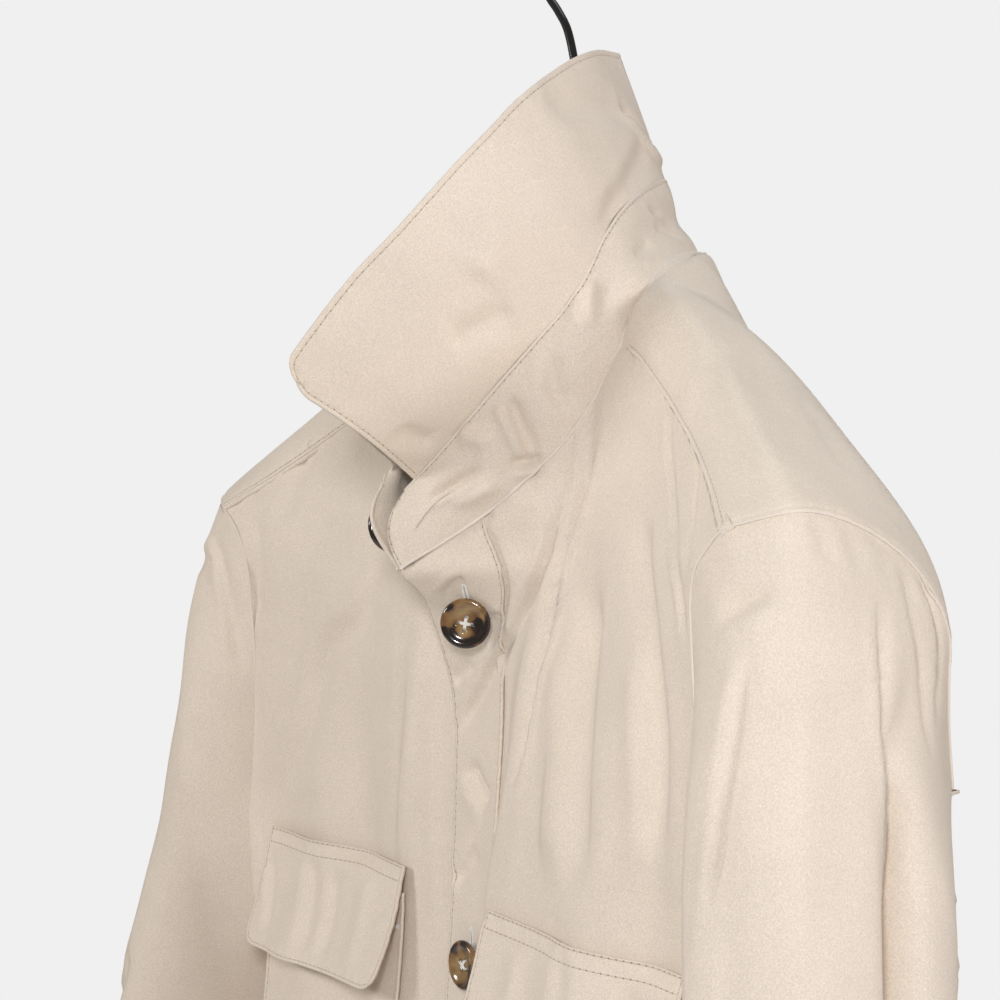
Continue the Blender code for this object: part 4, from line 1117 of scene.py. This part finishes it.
PLACKET_CREASES = {1: creases(UNIT, [
    (2.8, -1.1, 1.2, 0.5,  24, -291, 19, -297, 10, -304, 2, -313, -8, -323, -18, -334),
    (5, -1.2, 2, 0.3,  -10, -344, -2, -352, 8, -360),
    (4, -0.9, 1.8, 0.3,  1, -378, -9, -387, -18, -395),
    (2.6, -0.8, 1.4, 0.4,  20, -266, 14, -269, 4, -275),
    (2.4, -0.7, 1.4, 0.4,  24, -282, 14, -284, 6, -290),
    (3, -0.7, 1.6, 0.3,  -16, -312, -8, -306, 0, -303),
    (4, -0.8, 1.8, 0.3,  14, -470, 4, -478, -8, -482),
    (4, -0.8, 1.8, 0.3,  14, -585, 2, -594, -10, -600),
]),
 -1: creases(UNIT, [
    (4, -0.8, 1.8, 0.3,  -16, -400, -4, -412, 10, -418),
    (4, -0.8, 1.8, 0.3,  -16, -560, -4, -570, 10, -578),
])}
BACK_CREASES = creases(UNIT, [
    (14, -3.2, 2, 0,  184, -300, 184, -335, 181, -365, 184, -410),
    (14, -3.2, 2, 0,  -184, -300, -184, -335, -181, -365, -184, -410),
    (6, -1.4, 1.6, 0.4,  -20, -250, -26, -300, -18, -380),
    (6.5, -1.5, 1.6, -0.4,  60, -262, 52, -330, 56, -400),
    (6, -1.3, 1.7, 0.4,  -96, -262, -110, -330, -104, -420),
    (6, -1.4, 1.6, 0.3,  128, -290, 138, -360, 132, -450),
    (5, -1.8, 1.3, 0.5,  -166, -330, -150, -370, -140, -430),
    (5, -1.8, 1.3, -0.5,  168, -330, 152, -372, 138, -440),
    (8, 1.6, 2, 0,  -10, -480, -24, -600, -12, -720),
    (8, -1.8, 1.8, 0.3,  96, -520, 106, -640, 100, -780),
    (7, 1.7, 1.8, 0,  -150, -560, -160, -680, -152, -810),
])
SLEEVE_CREASES = {1: creases(SHARE, [
    (5, -1.6, 1.7, 0.4,  385, 70, 411, 90, 436, 94),
    (4, -1.3, 1.6, 0.5,  412, 120, 404, 174, 396, 214, 376, 255, 327, 304),
    (3.4, -2.2, 1.3, 0.5,  545, 60, 559, 103, 582, 152, 600, 217, 604, 300, 604, 380, 602, 500),
    (3.2, -2.6, 2, 0.2,  602, 190, 604, 300, 604, 380, 602, 520),
    (3, -2.2, 1.2, 0.5,  572, 4, 593, 20, 618, 40, 640, 75),
    (3, -1.3, 1.3, 0.4,  551, 11, 576, 50, 611, 80, 644, 109),
    (3, -0.7, 1.6, 0.3,  470, 10, 481, 46, 493, 75),
    (2.6, -0.7, 1.6, 0.3,  499, 6, 509, 37, 519, 64),
    (2.6, -0.6, 1.6, 0.3,  528, 4, 536, 26, 544, 50),
    (10, 1.2, 2, 0,  470, 149, 473, 228, 463, 311, 452, 400),
    (6, -2, 1.5, 0.4,  300, 420, 360, 500, 400, 560),
    (6, -1.8, 1.5, -0.4,  520, 470, 470, 540, 440, 600),
    (5.5, -1.7, 1.5, 0.4,  220, 620, 300, 680, 380, 700),
    (7, -1.7, 1.8, 0.3,  800, 300, 840, 420, 820, 560),
    (5, -1.5, 1.5, 0.4,  600, 780, 520, 850, 460, 900),
    (5, -1.5, 1.5, 0.4,  900, 760, 980, 840, 940, 920),
]),
 -1: creases(SHARE, [
    (3.5, -1.4, 1.4, 0.4,  414, 62, 374, 58, 339, 50, 282, 38),
    (8, -1.3, 2, 0.3,  440, 90, 452, 200, 440, 320, 450, 440),
    (5, -1.4, 1.7, 0.4,  385, 75, 408, 98, 430, 120),
    (3, -0.7, 1.6, 0.3,  480, 10, 492, 48, 500, 80),
    (2.6, -0.7, 1.6, 0.3,  520, 6, 530, 34, 538, 60),
    (6, -1.9, 1.5, 0.4,  310, 430, 350, 510, 400, 550),
    (6, -1.8, 1.5, -0.4,  530, 500, 480, 560, 430, 640),
    (5.5, -1.6, 1.5, 0.4,  240, 660, 300, 700, 390, 730),
    (7, -1.7, 1.8, 0.3,  790, 320, 830, 430, 800, 580),
    (5, -1.5, 1.5, 0.4,  610, 800, 530, 860, 450, 910),
])}
YOKE_CREASES = creases(SHARE, [
    (3.2, -1, 1.5, 0.5,  505, 66, 564, 61, 620, 54),
    (5, -1.4, 1.8, 0.3,  628, 240, 694, 117, 716, 63, 745, 12),
    (5.5, -1.3, 1.8, -0.3,  580, 370, 704, 311, 771, 289, 830, 280),
    (7, -0.9, 2, 0,  724, 440, 821, 420, 898, 430),
    (5, -1.1, 1.8, 0.3,  -520, 120, -640, 130, -760, 90),
    (5.5, -1.2, 1.8, -0.3,  -600, 360, -720, 300, -840, 290),
    (7, -1.3, 1.8, 0.3,  -300, 500, -360, 700, -330, 930),
    (7, -1.3, 1.8, -0.3,  300, 480, 350, 700, 340, 930),
    (8, 1.1, 2, 0,  20, 400, 0, 650, 30, 920),
])
STAND_CREASES = creases(SHARE, [
    (11, -1.6, 2, 0,  -420, 500, 0, 500, 420, 500),
    (1.8, -0.5, 1.4, 0.5,  196, 800, 169, 723, 146, 670),
    (1.9, -0.6, 1.4, 0.5,  190, 560, 164, 401, 135, 250),
    (2.8, -0.6, 1.6, 0.5,  335, 430, 291, 361, 240, 340),
    (4, -0.9, 1.8, 0.3,  455, 900, 493, 741, 522, 540),
    (3, -1.5, 1.4, 0.6,  728, 850, 724, 474, 720, 110),
    (2.4, -1.3, 1.4, 0.5,  775, 260, 740, 140, 705, 40),
    (2.2, -1.1, 1.3, 0.5,  945, 550, 889, 520, 820, 425),
    (3.5, 0.9, 1.8, 0,  860, 980, 824, 769, 790, 550),
    (3, 0.8, 1.6, 0,  905, 360, 850, 240, 800, 190),
    (4, -0.8, 1.8, 0.3,  610, 800, 640, 500, 620, 200),
    (4, -0.9, 1.6, 0.3,  -300, 800, -340, 500, -310, 200),
    (4, -0.9, 1.6, 0.3,  -560, 850, -600, 500, -580, 200),
    (4, -0.9, 1.6, 0.3,  -760, 700, -800, 450, -770, 200),
])
LEAF_CREASES = creases(SHARE, [
    (7, -1, 2, 0.2,  350, 880, 272, 759, 195, 659, 105, 520),
    (2.8, -2.2, 1.2, 0.6,  125, 620, 95, 430, 60, 270, 0, 200),
    (6, -0.9, 2, 0.3,  100, 250, 180, 150, 280, 80, 400, 60),
    (7, -0.8, 2, 0,  745, 400, 686, 310, 620, 240),
    (5, -0.8, 2, 0.2,  945, 320, 928, 180, 905, 60),
    (10, 0.9, 2, 0,  500, 900, 560, 600, 640, 520),
    (8, -0.9, 2, 0.2,  -300, 700, -400, 500, -520, 450),
    (3, -1.3, 1.3, 0.5,  -120, 500, -100, 350, -60, 200),
    (8, 0.9, 2, 0,  -800, 600, -700, 450, -600, 420),
])
FLAP_CREASES = {1: creases(SHARE, [
    (5, -0.9, 1.8, 0.3,  500, 70, 516, 238, 522, 420, 530, 900),
    (6, 0.8, 2, 0,  220, 150, 240, 500, 230, 950),
    (5, -0.7, 1.8, 0.3,  780, 150, 800, 500, 790, 950),
]),
 -1: creases(SHARE, [
    (4, -0.9, 1.7, 0.4,  975, 200, 900, 532, 840, 900),
    (5, -1, 1.8, 0.3,  640, 120, 574, 517, 540, 946),
    (4.5, -0.9, 1.8, 0.3,  480, 150, 430, 529, 400, 960),
    (6, 0.8, 2, 0,  250, 150, 220, 500, 200, 950),
])}


# ---------------------------------------------------------------- the garment

SIDES = ((1, "left"), (-1, "right"))
TUCK = 2.2                 # how far a piece goes on under the next one
DEPTH = 1.1                # and how deep
TOP_SINK = (("v0", TUCK, DEPTH),)
SHOULDER = 0.285           # share of the yoke's front edge that is one shoulder's seam
ROUND = np.linspace(0.0, 1.0, 133)[:-1]     # once round a sleeve
FRAMED = "u0 u1 v1 v0"     # topstitched all round
made = {}


def finish_piece(obj, slot, *nodes):
    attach(obj, "root")
    if nodes:
        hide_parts(*nodes)


def dress(node, shell, creases, chart, seed, top="", under="", fold="", unevenness=0.25,
          size=70.0, tucks=(), low=0.0, stitch=2.3, corners=(), crisp=2.0):
    """Put the relief of one cloth piece on its shell and make the piece.

    top names its topstitched edges, under the one that goes under a neighbour, and fold
    the one that is folded.
    """
    for edge_u, edge_v, radius in corners:
        shell.rounded(edge_u, edge_v, radius)
    relief = (crisp * apply_creases(shell, creases, chart)
              + waves(shell, seed, size, unevenness * 1.5))
    if top:
        away = np.stack([getattr(shell, "from_" + edge) for edge in top.split()])
        across = np.array([edge[0] == "v" for edge in top.split()])[away.argmin(0)]
        along = np.where(across, shell.from_u0, shell.from_v0)
        relief += seam(away.min(0), along, seed * 10, low=low, stitch=stitch)
    if under:
        away = getattr(shell, "from_" + under)
        relief += 0.3 * np.exp(-(away / 3.0) ** 2)
        relief += seam(away, shell.from_u0, seed * 10, puff=0.0, groove=0.0, pucker=0.4)
    if fold:
        relief += -0.2 * np.exp(-(getattr(shell, "from_" + fold) / 0.8) ** 2)
    shell.push(relief)
    made[node] = shell
    finish_piece(cloth_mesh("cloth_" + node, shell, tucks), "cloth", node)


def sew(name, shell, *lines):
    """Stitches along lines of a shell, (edge, inset, start, end) for each, with dark
    dashes of painted shade between them where the needle's holes are."""
    segments, holes = [], []
    for line in lines:
        points, normals = inset_line(shell, *line)
        segments += stitches(points, normals, STITCH)
        holes += stitches(points, normals, HOLE_SHADE_LENGTH, first=STITCH - 0.2)
    finish_piece(capsules("stitch_" + name, segments, THREAD, SEWING), "cloth")
    # Flat dark dashes between the stitches: painted shade of the needle's holes.
    finish_piece(capsules("stitch_" + name + "_hole_shade", holes, 0.8, GAP_SHADE, 0.12), "cloth")


def cord(name, points, normals, radius, lift):
    """The rolled edge of a seam allowance, as a thin round ridge along a seam, painted paler
    than the cloth as a highlight.
    """
    points = points + normals * lift
    side = unit(np.cross(unit(np.gradient(points, axis=0)), normals))
    turns = 2 * np.pi * np.arange(8) / 8
    rings = [[p + (n * np.cos(a) + q * np.sin(a)) * radius for a in turns]
             for p, n, q in zip(points, normals, side)]
    finish_piece(loft("seam_" + name, rings, SEAM_HIGHLIGHT), "cloth")


def buttonhole(name, shell, path, material, half=1.3, pitch=0.72):
    """A worked buttonhole along a path on a shell: whipped lips, and the slit between
    them as a dark strip of painted shade.
    """
    pairs = [shell.at(u, v) for u, v in spline(path, 60)]
    points, normals = (np.array([pair[k] for pair in pairs]) for k in (0, 1))
    run = distances(points)
    whips, slit = [], []
    for at in np.arange(0.0, run[-1], pitch):
        p, n = point_at(at, run, points), unit(point_at(at, run, normals))
        inside = at + 0.4 < run[-1]
        along = point_at(at + 0.4, run, points) - p if inside else p - points[-3]
        across = np.cross(unit(along), n)
        ends = at < 2 * pitch or at > run[-1] - 2.5 * pitch
        for way in (1.0, -1.0):
            whips.append((p + across * way * (0.0 if ends else 0.22), p + across * way * half, n))
        if not ends:
            # A dark capsule along the slit: painted shade.
            slit.append((p - along * 0.9, p + along * 0.9, n))
    finish_piece(capsules(name, whips, 0.62, material, 1.1), "cloth")
    finish_piece(capsules(name + "_slit_shade", slit, 0.4, GAP_SHADE, 0.9), "cloth")


def body_chart(side):
    return lambda x, z: np.array([x, front_depth(x, z, side), z])


# Every piece: its run across and down in mm with the step of its rows, and its coarse grid.
back = Shell(back_panel, 2 * paced(396.0, 4.0) - 1.0, paced(610.0, 4.5), lift=CLOTH, flip=True,
             grid=(100, 80))
dress("back", back, BACK_CREASES, lambda x, z: np.array([x, back_depth(x, z) + CLOTH, z]), 11,
      top="v1 u0 u1", under="v0", unevenness=0.35, size=90.0, tucks=TOP_SINK, low=0.6)
yoke_shell = Shell(yoke, 2 * paced(500.0, 2.6) - 1.0, paced(135.0, 2.4), lift=CLOTH, flip=True,
                   grid=(120, 60))
dress("yoke", yoke_shell, YOKE_CREASES, yoke, 12, top="v1 u0 u1 v0", tucks=TOP_SINK, low=0.75,
      stitch=1.6, crisp=1.2)


def paired(side, surface, us, vs, grid, closed=False):
    """The shell of one of a pair of pieces; the right one's grid runs the other way."""
    return Shell(surface, us, vs, flip=side < 0, closed=closed, grid=grid)


for side, word in SIDES:
    dress("front_" + word,
          paired(side, front_panel(side), paced(178.0, 2.1), paced(630.0, 2.6), (80, 110)),
          FRONT_CREASES[side], body_chart(side), 20 + side, top="v1", under="v0",
          tucks=[("v0", 2 * TUCK, DEPTH), ("u0", TUCK, DEPTH), ("u1", TUCK, DEPTH)])
    arm = sleeve(side)
    dress("sleeve_" + word, paired(side, arm, ROUND, paced(520.0, 3.0), (132, 64), True),
          SLEEVE_CREASES[side], arm, 30 + side, under="v1",
          tucks=[("v0", TUCK, DEPTH + 0.3), ("v1", TUCK, DEPTH)])
    ring = cuff(side)
    dress("cuff_" + word, paired(side, ring, ROUND, paced(CUFF_HEIGHT, 2.6), (132, 12), True),
          [], ring, 40 + side, top="v0 v1", unevenness=0.12)
    dress("placket_" + word,
          paired(side, placket(side), paced(PLACKET_WIDTH, 1.7), paced(600.0, 2.2), (24, 110)),
          PLACKET_CREASES[side], body_chart(side), 50 + side, top="u0 u1 v1", unevenness=0.12,
          tucks=TOP_SINK, stitch=1.5, crisp=3.2)
    patch = pocket(side)
    dress("pocket_" + word,
          paired(side, patch, paced(POCKET_WIDTH, 2.2), paced(POCKET_HEIGHT, 2.2), (40, 44)),
          [], patch, 60 + side, top=FRAMED, unevenness=0.18)
    lid = flap(side)
    dress("flap_" + word, paired(side, lid, paced(FLAP_WIDTH, 1.7), paced(56.0, 1.3), (50, 30)),
          FLAP_CREASES[side], lid, 70 + side, top=FRAMED, unevenness=0.2,
          corners=[("u0", "v1", 9.0), ("u1", "v1", 9.0)], stitch=1.5)

TURNED_FULL = 0.06         # where the right end is turned out most, past its tip
TURNED_BY = np.array([9.5, 3.0, 0.0])
LEAF_START = 0.02          # where the leaf starts on the stand, as a share of its half length


def turned_out(u):
    """How far the right end of the collar stands turned out to the side, short of its tip."""
    start = 1.0 + u
    share = smooth(start / TURNED_FULL) * (1.0 - smooth((start - 2.0 * TURNED_FULL) / 0.13))
    return share * TURNED_BY


def stand_hung(u, v):
    """The stand, its right end drawn in behind the left one at the neck and turned out."""
    drawn = smooth((-u - 0.88) / 0.12) * (1.0 - smooth(v / 0.75))
    return (stand(u, v) + drawn * np.array([3.0, 4.5, -1.5])
            + turned_out(u) * smooth(v / 0.22))


def leaf_hung(u, v):
    """The leaf, starting a little behind the stand's ends, its right corner drawn in."""
    back_by = LEAF_START * (1.0 - v) * smooth((abs(u) - 0.85) / 0.15)
    along = np.sign(u) * (abs(u) - back_by)
    corner = smooth((-u - 0.7) / 0.3) * smooth(v / 0.1) * np.array([5.0, 2.0, 0.0])
    return leaf(along, v) + turned_out(along) * (1.0 - smooth(v / 0.5)) + corner


stand_shell = Shell(stand_hung, 2 * paced(330.0, 1.6) - 1.0, paced(31.0, 1.2), grid=(160, 14))
dress("collar_stand", stand_shell, STAND_CREASES, stand, 80, top=FRAMED, unevenness=0.12,
      size=40.0, stitch=1.2, crisp=3.5)
leaf_shell = Shell(leaf_hung, 2 * paced(400.0, 1.9) - 1.0, paced(66.0, 1.7), grid=(160, 24))
dress("collar_leaf", leaf_shell, LEAF_CREASES, leaf, 81, top="u0 u1 v1", fold="v0",
      unevenness=0.2, size=60.0, tucks=[("v0", TUCK, 0.8)], crisp=2.6,
      corners=[("u0", "v1", 11.0), ("u1", "v1", 11.0)])

sew("leaf", leaf_shell, ("v1", 2.3, 0.006, 0.994), ("u0", 2.3, 0.0, 0.96),
    ("u1", 2.3, 0.0, 0.96))
sew("stand", stand_shell, ("v1", 1.2), ("u0", 1.3, 0.05, 0.95), ("u1", 1.3, 0.05, 0.95))
sew("yoke", yoke_shell, ("v1", 2.3), ("v0", 1.6, 0.0, SHOULDER),
    ("v0", 1.6, 1.0 - SHOULDER, 1.0))
sew("back", back, ("u0", 2.3, 0.42), ("u1", 2.3, 0.42), ("v1", 14.0))
for label, shell, edge, start, end, radius, lift in (
        ("neck", stand_shell, "v0", 0.0, 1.0, 0.7, -0.05),
        ("collar", stand_shell, "v1", 0.0, 1.0, 0.5, -0.1),
        ("shoulder_right", yoke_shell, "v0", 0.0, SHOULDER, 0.5, 0.0),
        ("shoulder_left", yoke_shell, "v0", 1.0 - SHOULDER, 1.0, 0.5, 0.0),
        ("back", yoke_shell, "v1", 0.0, 1.0, 0.5, 0.0)):
    cord(label, *inset_line(shell, edge, 0.15, start, end), radius, lift)
PAIRED_STITCHES = {
    "placket_": [("u0", 1.5), ("u1", 1.5)],
    "front_": [("v1", 14.0)],
    "cuff_": [("v0", 2.3), ("v1", 2.3)],
    "pocket_": [("u0", 2.0), ("u1", 2.0), ("v1", 2.0)],
    "flap_": [("u0", 1.5, 0.0, 0.96), ("u1", 1.5, 0.0, 0.96), ("v1", 1.5, 0.01, 0.99),
              ("v0", 0.9), ("v0", 6.8, 0.02, 0.98)],
}
for side, word in SIDES:
    rim = made["sleeve_" + word]
    cord("armhole_" + word, rim.p[0, 5:-17], rim.n[0, 5:-17], 0.5, 0.3)
    for part, lines in PAIRED_STITCHES.items():
        sew(part + word, made[part + word], *lines)
    patch = made["pocket_" + word]
    tack = [patch.at(0.02 + 0.05 * k / 9.0, 0.105) for k in range(10)]
    across = 0.9 * unit(patch.at(0.045, 0.11)[0] - patch.at(0.045, 0.10)[0])
    finish_piece(capsules("bar_tack_" + word, [(p - across, p + across, n) for p, n in tack],
                          0.6, WHITE_THREAD), "cloth")


# Its whips take the pale colour of the seam cords, whose paleness is a painted highlight.
buttonhole("buttonhole_stand", stand_shell,
           [(0.961, 0.299), (0.940, 0.420), (0.916, 0.454), (0.885, 0.439)], SEAM_HIGHLIGHT,
           half=0.85, pitch=0.85)
# The placket's buttonholes stand on end behind the buttons: x at their upper end.
HOLE_ABOVE, HOLE_BELOW = 15.5, 7.0
HOLE_TOPS = [17.0, -3.0, -1.0, 0.0]
holed = made["placket_left"]
for number, (row, x_top) in enumerate(zip(FRONT_BUTTONS, HOLE_TOPS), 1):
    places = []
    for share in (0.0, 0.35, 0.7, 1.0):
        z = row.z - HOLE_BELOW + (HOLE_ABOVE + HOLE_BELOW) * share
        x = row.x + (x_top - row.x) * max(z - row.z, 0.0) / HOLE_ABOVE
        gap = np.abs(holed.p[:, :, 2] - z) + np.abs(holed.p[:, :, 0] - x)
        j, i = np.unravel_index(gap.argmin(), gap.shape)
        places.append((holed.us[i], holed.vs[j]))
    buttonhole("buttonhole_front_%d" % number, holed, places, WHITE_THREAD)


# ---------------------------------------------------------------- buttons

BUTTON_PROFILE = [
    (0.0, 0.45), (2.0, 0.45), (4.6, 0.5), (5.9, 0.62), (6.8, 0.9), (7.5, 1.32), (8.1, 1.6),
    (8.8, 1.7), (9.4, 1.58), (9.9, 1.2), (10.18, 0.7), (10.25, 0.2), (10.1, -0.4),
    (9.6, -0.95), (8.6, -1.35), (7.0, -1.62), (4.0, -1.7), (0.0, -1.7),
]
HOLE = 0.95
HOLE_OFF = 1.75


def mesh_from(bm, name):
    mesh = bpy.data.meshes.new(name)
    bm.to_mesh(mesh)
    bm.free()
    return mesh


def turned_disc(name, profile, steps, material):
    """A profile of (radius, height) turned about z."""
    bm = bmesh.new()
    verts = [bm.verts.new((r * MM, 0.0, z * MM)) for r, z in profile]
    edges = [bm.edges.new(pair) for pair in zip(verts, verts[1:])]
    bmesh.ops.spin(bm, geom=verts + edges, axis=(0, 0, 1), cent=(0, 0, 0), steps=steps,
                   angle=2 * np.pi, use_duplicate=False)
    bmesh.ops.remove_doubles(bm, verts=bm.verts, dist=1e-6)
    bmesh.ops.recalc_face_normals(bm, faces=bm.faces)
    return put(name, mesh_from(bm, name), material)


def pierced_button(name):
    """A turned button with four thread holes cut through it."""
    disc = turned_disc(name, BUTTON_PROFILE, 72, RESIN)
    bm = bmesh.new()
    for x, y in ((1, 1), (1, -1), (-1, 1), (-1, -1)):
        hole = bmesh.ops.create_cone(bm, cap_ends=True, segments=20, radius1=HOLE * MM,
                                     radius2=HOLE * MM, depth=8 * MM)
        bmesh.ops.translate(bm, verts=hole["verts"],
                            vec=(x * HOLE_OFF * MM, y * HOLE_OFF * MM, 0.0))
    cutter = put("cutter", mesh_from(bm, "cutter"))
    cut = disc.modifiers.new("Holes", "BOOLEAN")
    cut.object = cutter
    cut.operation = "DIFFERENCE"
    cut.solver = "EXACT"
    graph = bpy.context.evaluated_depsgraph_get()
    solid = bpy.data.meshes.new_from_object(disc.evaluated_get(graph))
    ring = solid.attributes.new("ring", "FLOAT", "POINT")
    ring.data.foreach_set("value", [np.hypot(v.co.x, v.co.y) / (BUTTON_RADIUS * MM)
                                    for v in solid.vertices])
    for spent in (cutter, disc):
        bpy.data.objects.remove(spent, do_unlink=True)
    return solid


def seat_of(node, hint):
    """Centre and outward axis of a CAD button, from its own points."""
    points = np.array([v.co[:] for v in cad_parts[node].data.vertices])
    centre = (points.max(0) + points.min(0)) / 2
    axis = np.linalg.svd(points - points.mean(0), full_matrices=False)[2][2]
    if np.dot(axis, hint) < 0:
        axis = -axis
    reach = (points - centre) @ axis
    return centre + axis * (reach.max() + reach.min()) / 2, axis


# Which way each button faces, roughly, and how far it is turned about its axis in degrees.
BUTTONS = {
    "button_front_1": ((1.0, -1.0, 0.0), 35.0), "button_front_2": ((0.0, -1.0, 0.0), 12.0),
    "button_front_3": ((0.0, -1.0, 0.0), 50.0), "button_front_4": ((0.0, -1.0, 0.0), 24.0),
    "button_stand": ((-1.0, -0.6, 0.0), 8.0), "button_cuff_left": ((1.0, 0.3, 0.0), 20.0),
    "button_cuff_right": ((-1.0, 0.3, 0.0), 70.0),
}
disc = pierced_button("buttons_blank")
for node, (hint, turn) in BUTTONS.items():
    centre, axis = seat_of(node, hint)
    if node == "button_stand":
        seat, axis = stand_shell.at(-0.955, 0.42)
        centre = (seat + axis * 2.4 - np.array([0.0, 0.0, 5.0])) * MM
    spin = Vector(axis).to_track_quat("Z", "Y") @ Quaternion((0, 0, 1), np.radians(turn))
    place = Matrix.Translation(Vector(centre)) @ spin.to_matrix().to_4x4()
    mesh = disc.copy()
    mesh.transform(place)
    finish_piece(put("resin_" + node, mesh), "button", node)
    segments = []
    for way in (1, -1):
        # The second pair of holes has its threads crossing over the first pair's.
        high = 0.72 + (0.16 if way < 0 else 0.0)
        for shift in (-0.42, 0.0, 0.42):
            a = np.array([HOLE_OFF, way * HOLE_OFF, 0.0])
            off = np.array([-way, 1.0, 0.0]) * shift / 2 ** 0.5
            points = [a * share + off + [0.0, 0.0, z]
                      for share, z in ((1.0, -0.2), (0.85, high), (-0.85, high), (-1.0, -0.2))]
            points = [np.array(place @ Vector(tuple(q * MM))) / MM for q in points]
            segments += [(p, q, np.array(axis)) for p, q in zip(points, points[1:])]
    finish_piece(capsules("thread_" + node, segments, 0.5, WHITE_THREAD), "cloth")


# ---------------------------------------------------------------- hanger and hook

def tube(name, points, radius, sides, material):
    """A round wire along points in one plane of y, with slightly drawn-in ends."""
    tangent = unit(np.gradient(points, axis=0))
    turns = 2 * np.pi * np.arange(sides) / sides
    a = np.array([0.0, 1.0, 0.0])
    rings = []
    for n, (p, t) in enumerate(zip(points, tangent)):
        r = radius * (0.6 if n in (0, len(points) - 1) else 1.0)
        rings.append([p + (a * np.cos(k) + np.cross(t, a) * np.sin(k)) * r for k in turns])
    return loft(name, rings, material)


share = np.linspace(0.0, 1.0, 120)
route = np.stack([catmull([p.x for p in HOOK], share), np.zeros(120),
                  catmull([p.z for p in HOOK], share)], 1)
finish_piece(tube("wire_hook", route, HOOK_WIRE / 2, 20, WIRE), "hook", "hanger_hook")


def hanger():
    """Both arms of the plastic hanger as one loft of rounded sections."""
    rings = []
    for x in np.linspace(-HANGER[-1].x, HANGER[-1].x, 97):
        row = Arm(*(float(column(HANGER, "x", n, abs(x))) for n in Arm._fields))
        tip = min((HANGER[-1].x - abs(x)) / 7.0, 1.0)
        tip = 0.55 + 0.45 * np.sqrt(max(1.0 - (1.0 - tip) ** 2, 0.0))
        ring = []
        for k in range(28):
            a = 2 * np.pi * (k + 0.5) / 28
            c, s = np.cos(a), np.sin(a)
            y = row.y + 0.5 * row.thick_y * tip * np.sign(c) * abs(c) ** 0.7
            z = (row.top - 0.5 * row.thick_z
                 + 0.5 * row.thick_z * tip * np.sign(s) * abs(s) ** 0.7)
            ring.append((x, y, z))
        rings.append(ring)
    return loft("plastic_hanger", rings, PLASTIC)


finish_piece(hanger(), "hanger", "hanger_body")


# ---------------------------------------------------------------- camera, light and floor

def face(obj, place, way):
    """Put an object somewhere, its -z axis along a direction."""
    obj.location = place
    obj.rotation_mode = "QUATERNION"
    obj.rotation_quaternion = Vector(way).to_track_quat("-Z", "Y")


camera = bpy.data.cameras.new("camera")
camera.lens = 90.0
camera.sensor_width = 36.0
camera.clip_end = 20.0
eye = put("camera", camera)
bpy.context.scene.camera = eye
AZIMUTH = np.radians(57.7)
PITCH_DOWN = np.arctan(0.02)
face(eye, (0.8663, -0.582, -0.215),
     (-np.sin(AZIMUTH) * np.cos(PITCH_DOWN), np.cos(AZIMUTH) * np.cos(PITCH_DOWN),
      -np.sin(PITCH_DOWN)))

LIT = Vector((0.0, 0.0, -0.4))
for name, place, size, power, colour in (
        ("key", (0.95, -0.75, 0.0), 0.2, 7.7, (0.96, 0.975, 1.0)),
        ("left", (-0.6, -1.5, 0.2), 0.4, 9.4, (0.97, 0.96, 0.96)),
        ("side", (1.8, 0.9, 0.1), 0.6, 16.4, (0.97, 0.96, 1.0)),
        ("top", (-0.3, 0.3, 1.9), 1.2, 9.5, (0.70, 0.88, 1.0))):
    light = bpy.data.lights.new(name, "AREA")
    light.shape = "DISK"
    light.size = size
    light.energy = power
    light.color = colour
    face(put(name, light), place, LIT - Vector(place))

world = bpy.data.worlds.new("studio")
bpy.context.scene.world = world
world.use_nodes = True
nodes, link = world.node_tree.nodes, world.node_tree.links.new
background = nodes["Background"]
background.inputs["Color"].default_value = (0.871, 0.871, 0.871, 1.0)
background.inputs["Strength"].default_value = 1.0
dim = nodes.new("ShaderNodeBackground")
dim.inputs["Color"].default_value = (1.0, 0.893, 0.768, 1.0)
dim.inputs["Strength"].default_value = 0.25
blend = nodes.new("ShaderNodeMixShader")
link(nodes.new("ShaderNodeLightPath").outputs["Is Camera Ray"], blend.inputs[0])
link(dim.outputs[0], blend.inputs[1])
link(background.outputs[0], blend.inputs[2])
link(blend.outputs[0], nodes["World Output"].inputs[0])

bm = bmesh.new()
bmesh.ops.create_circle(bm, cap_ends=True, segments=96, radius=1.2)
mesh = mesh_from(bm, "floor")
paint = Paint("floor_paint")
speckle = paint.add("TexNoise", Scale=40.0, Detail=3.0).outputs["Fac"]
mesh.materials.append(paint.finish(
    Base_Color=paint.ramp(speckle, (0.3, [0.80] * 3), (0.7, [0.84] * 3)), Roughness=0.8))
floor = put("floor", mesh)
floor.location = (0.0, 0.0, -1.05)

bpy.context.scene.view_settings.view_transform = "Standard"
bpy.context.scene.view_settings.look = "None"
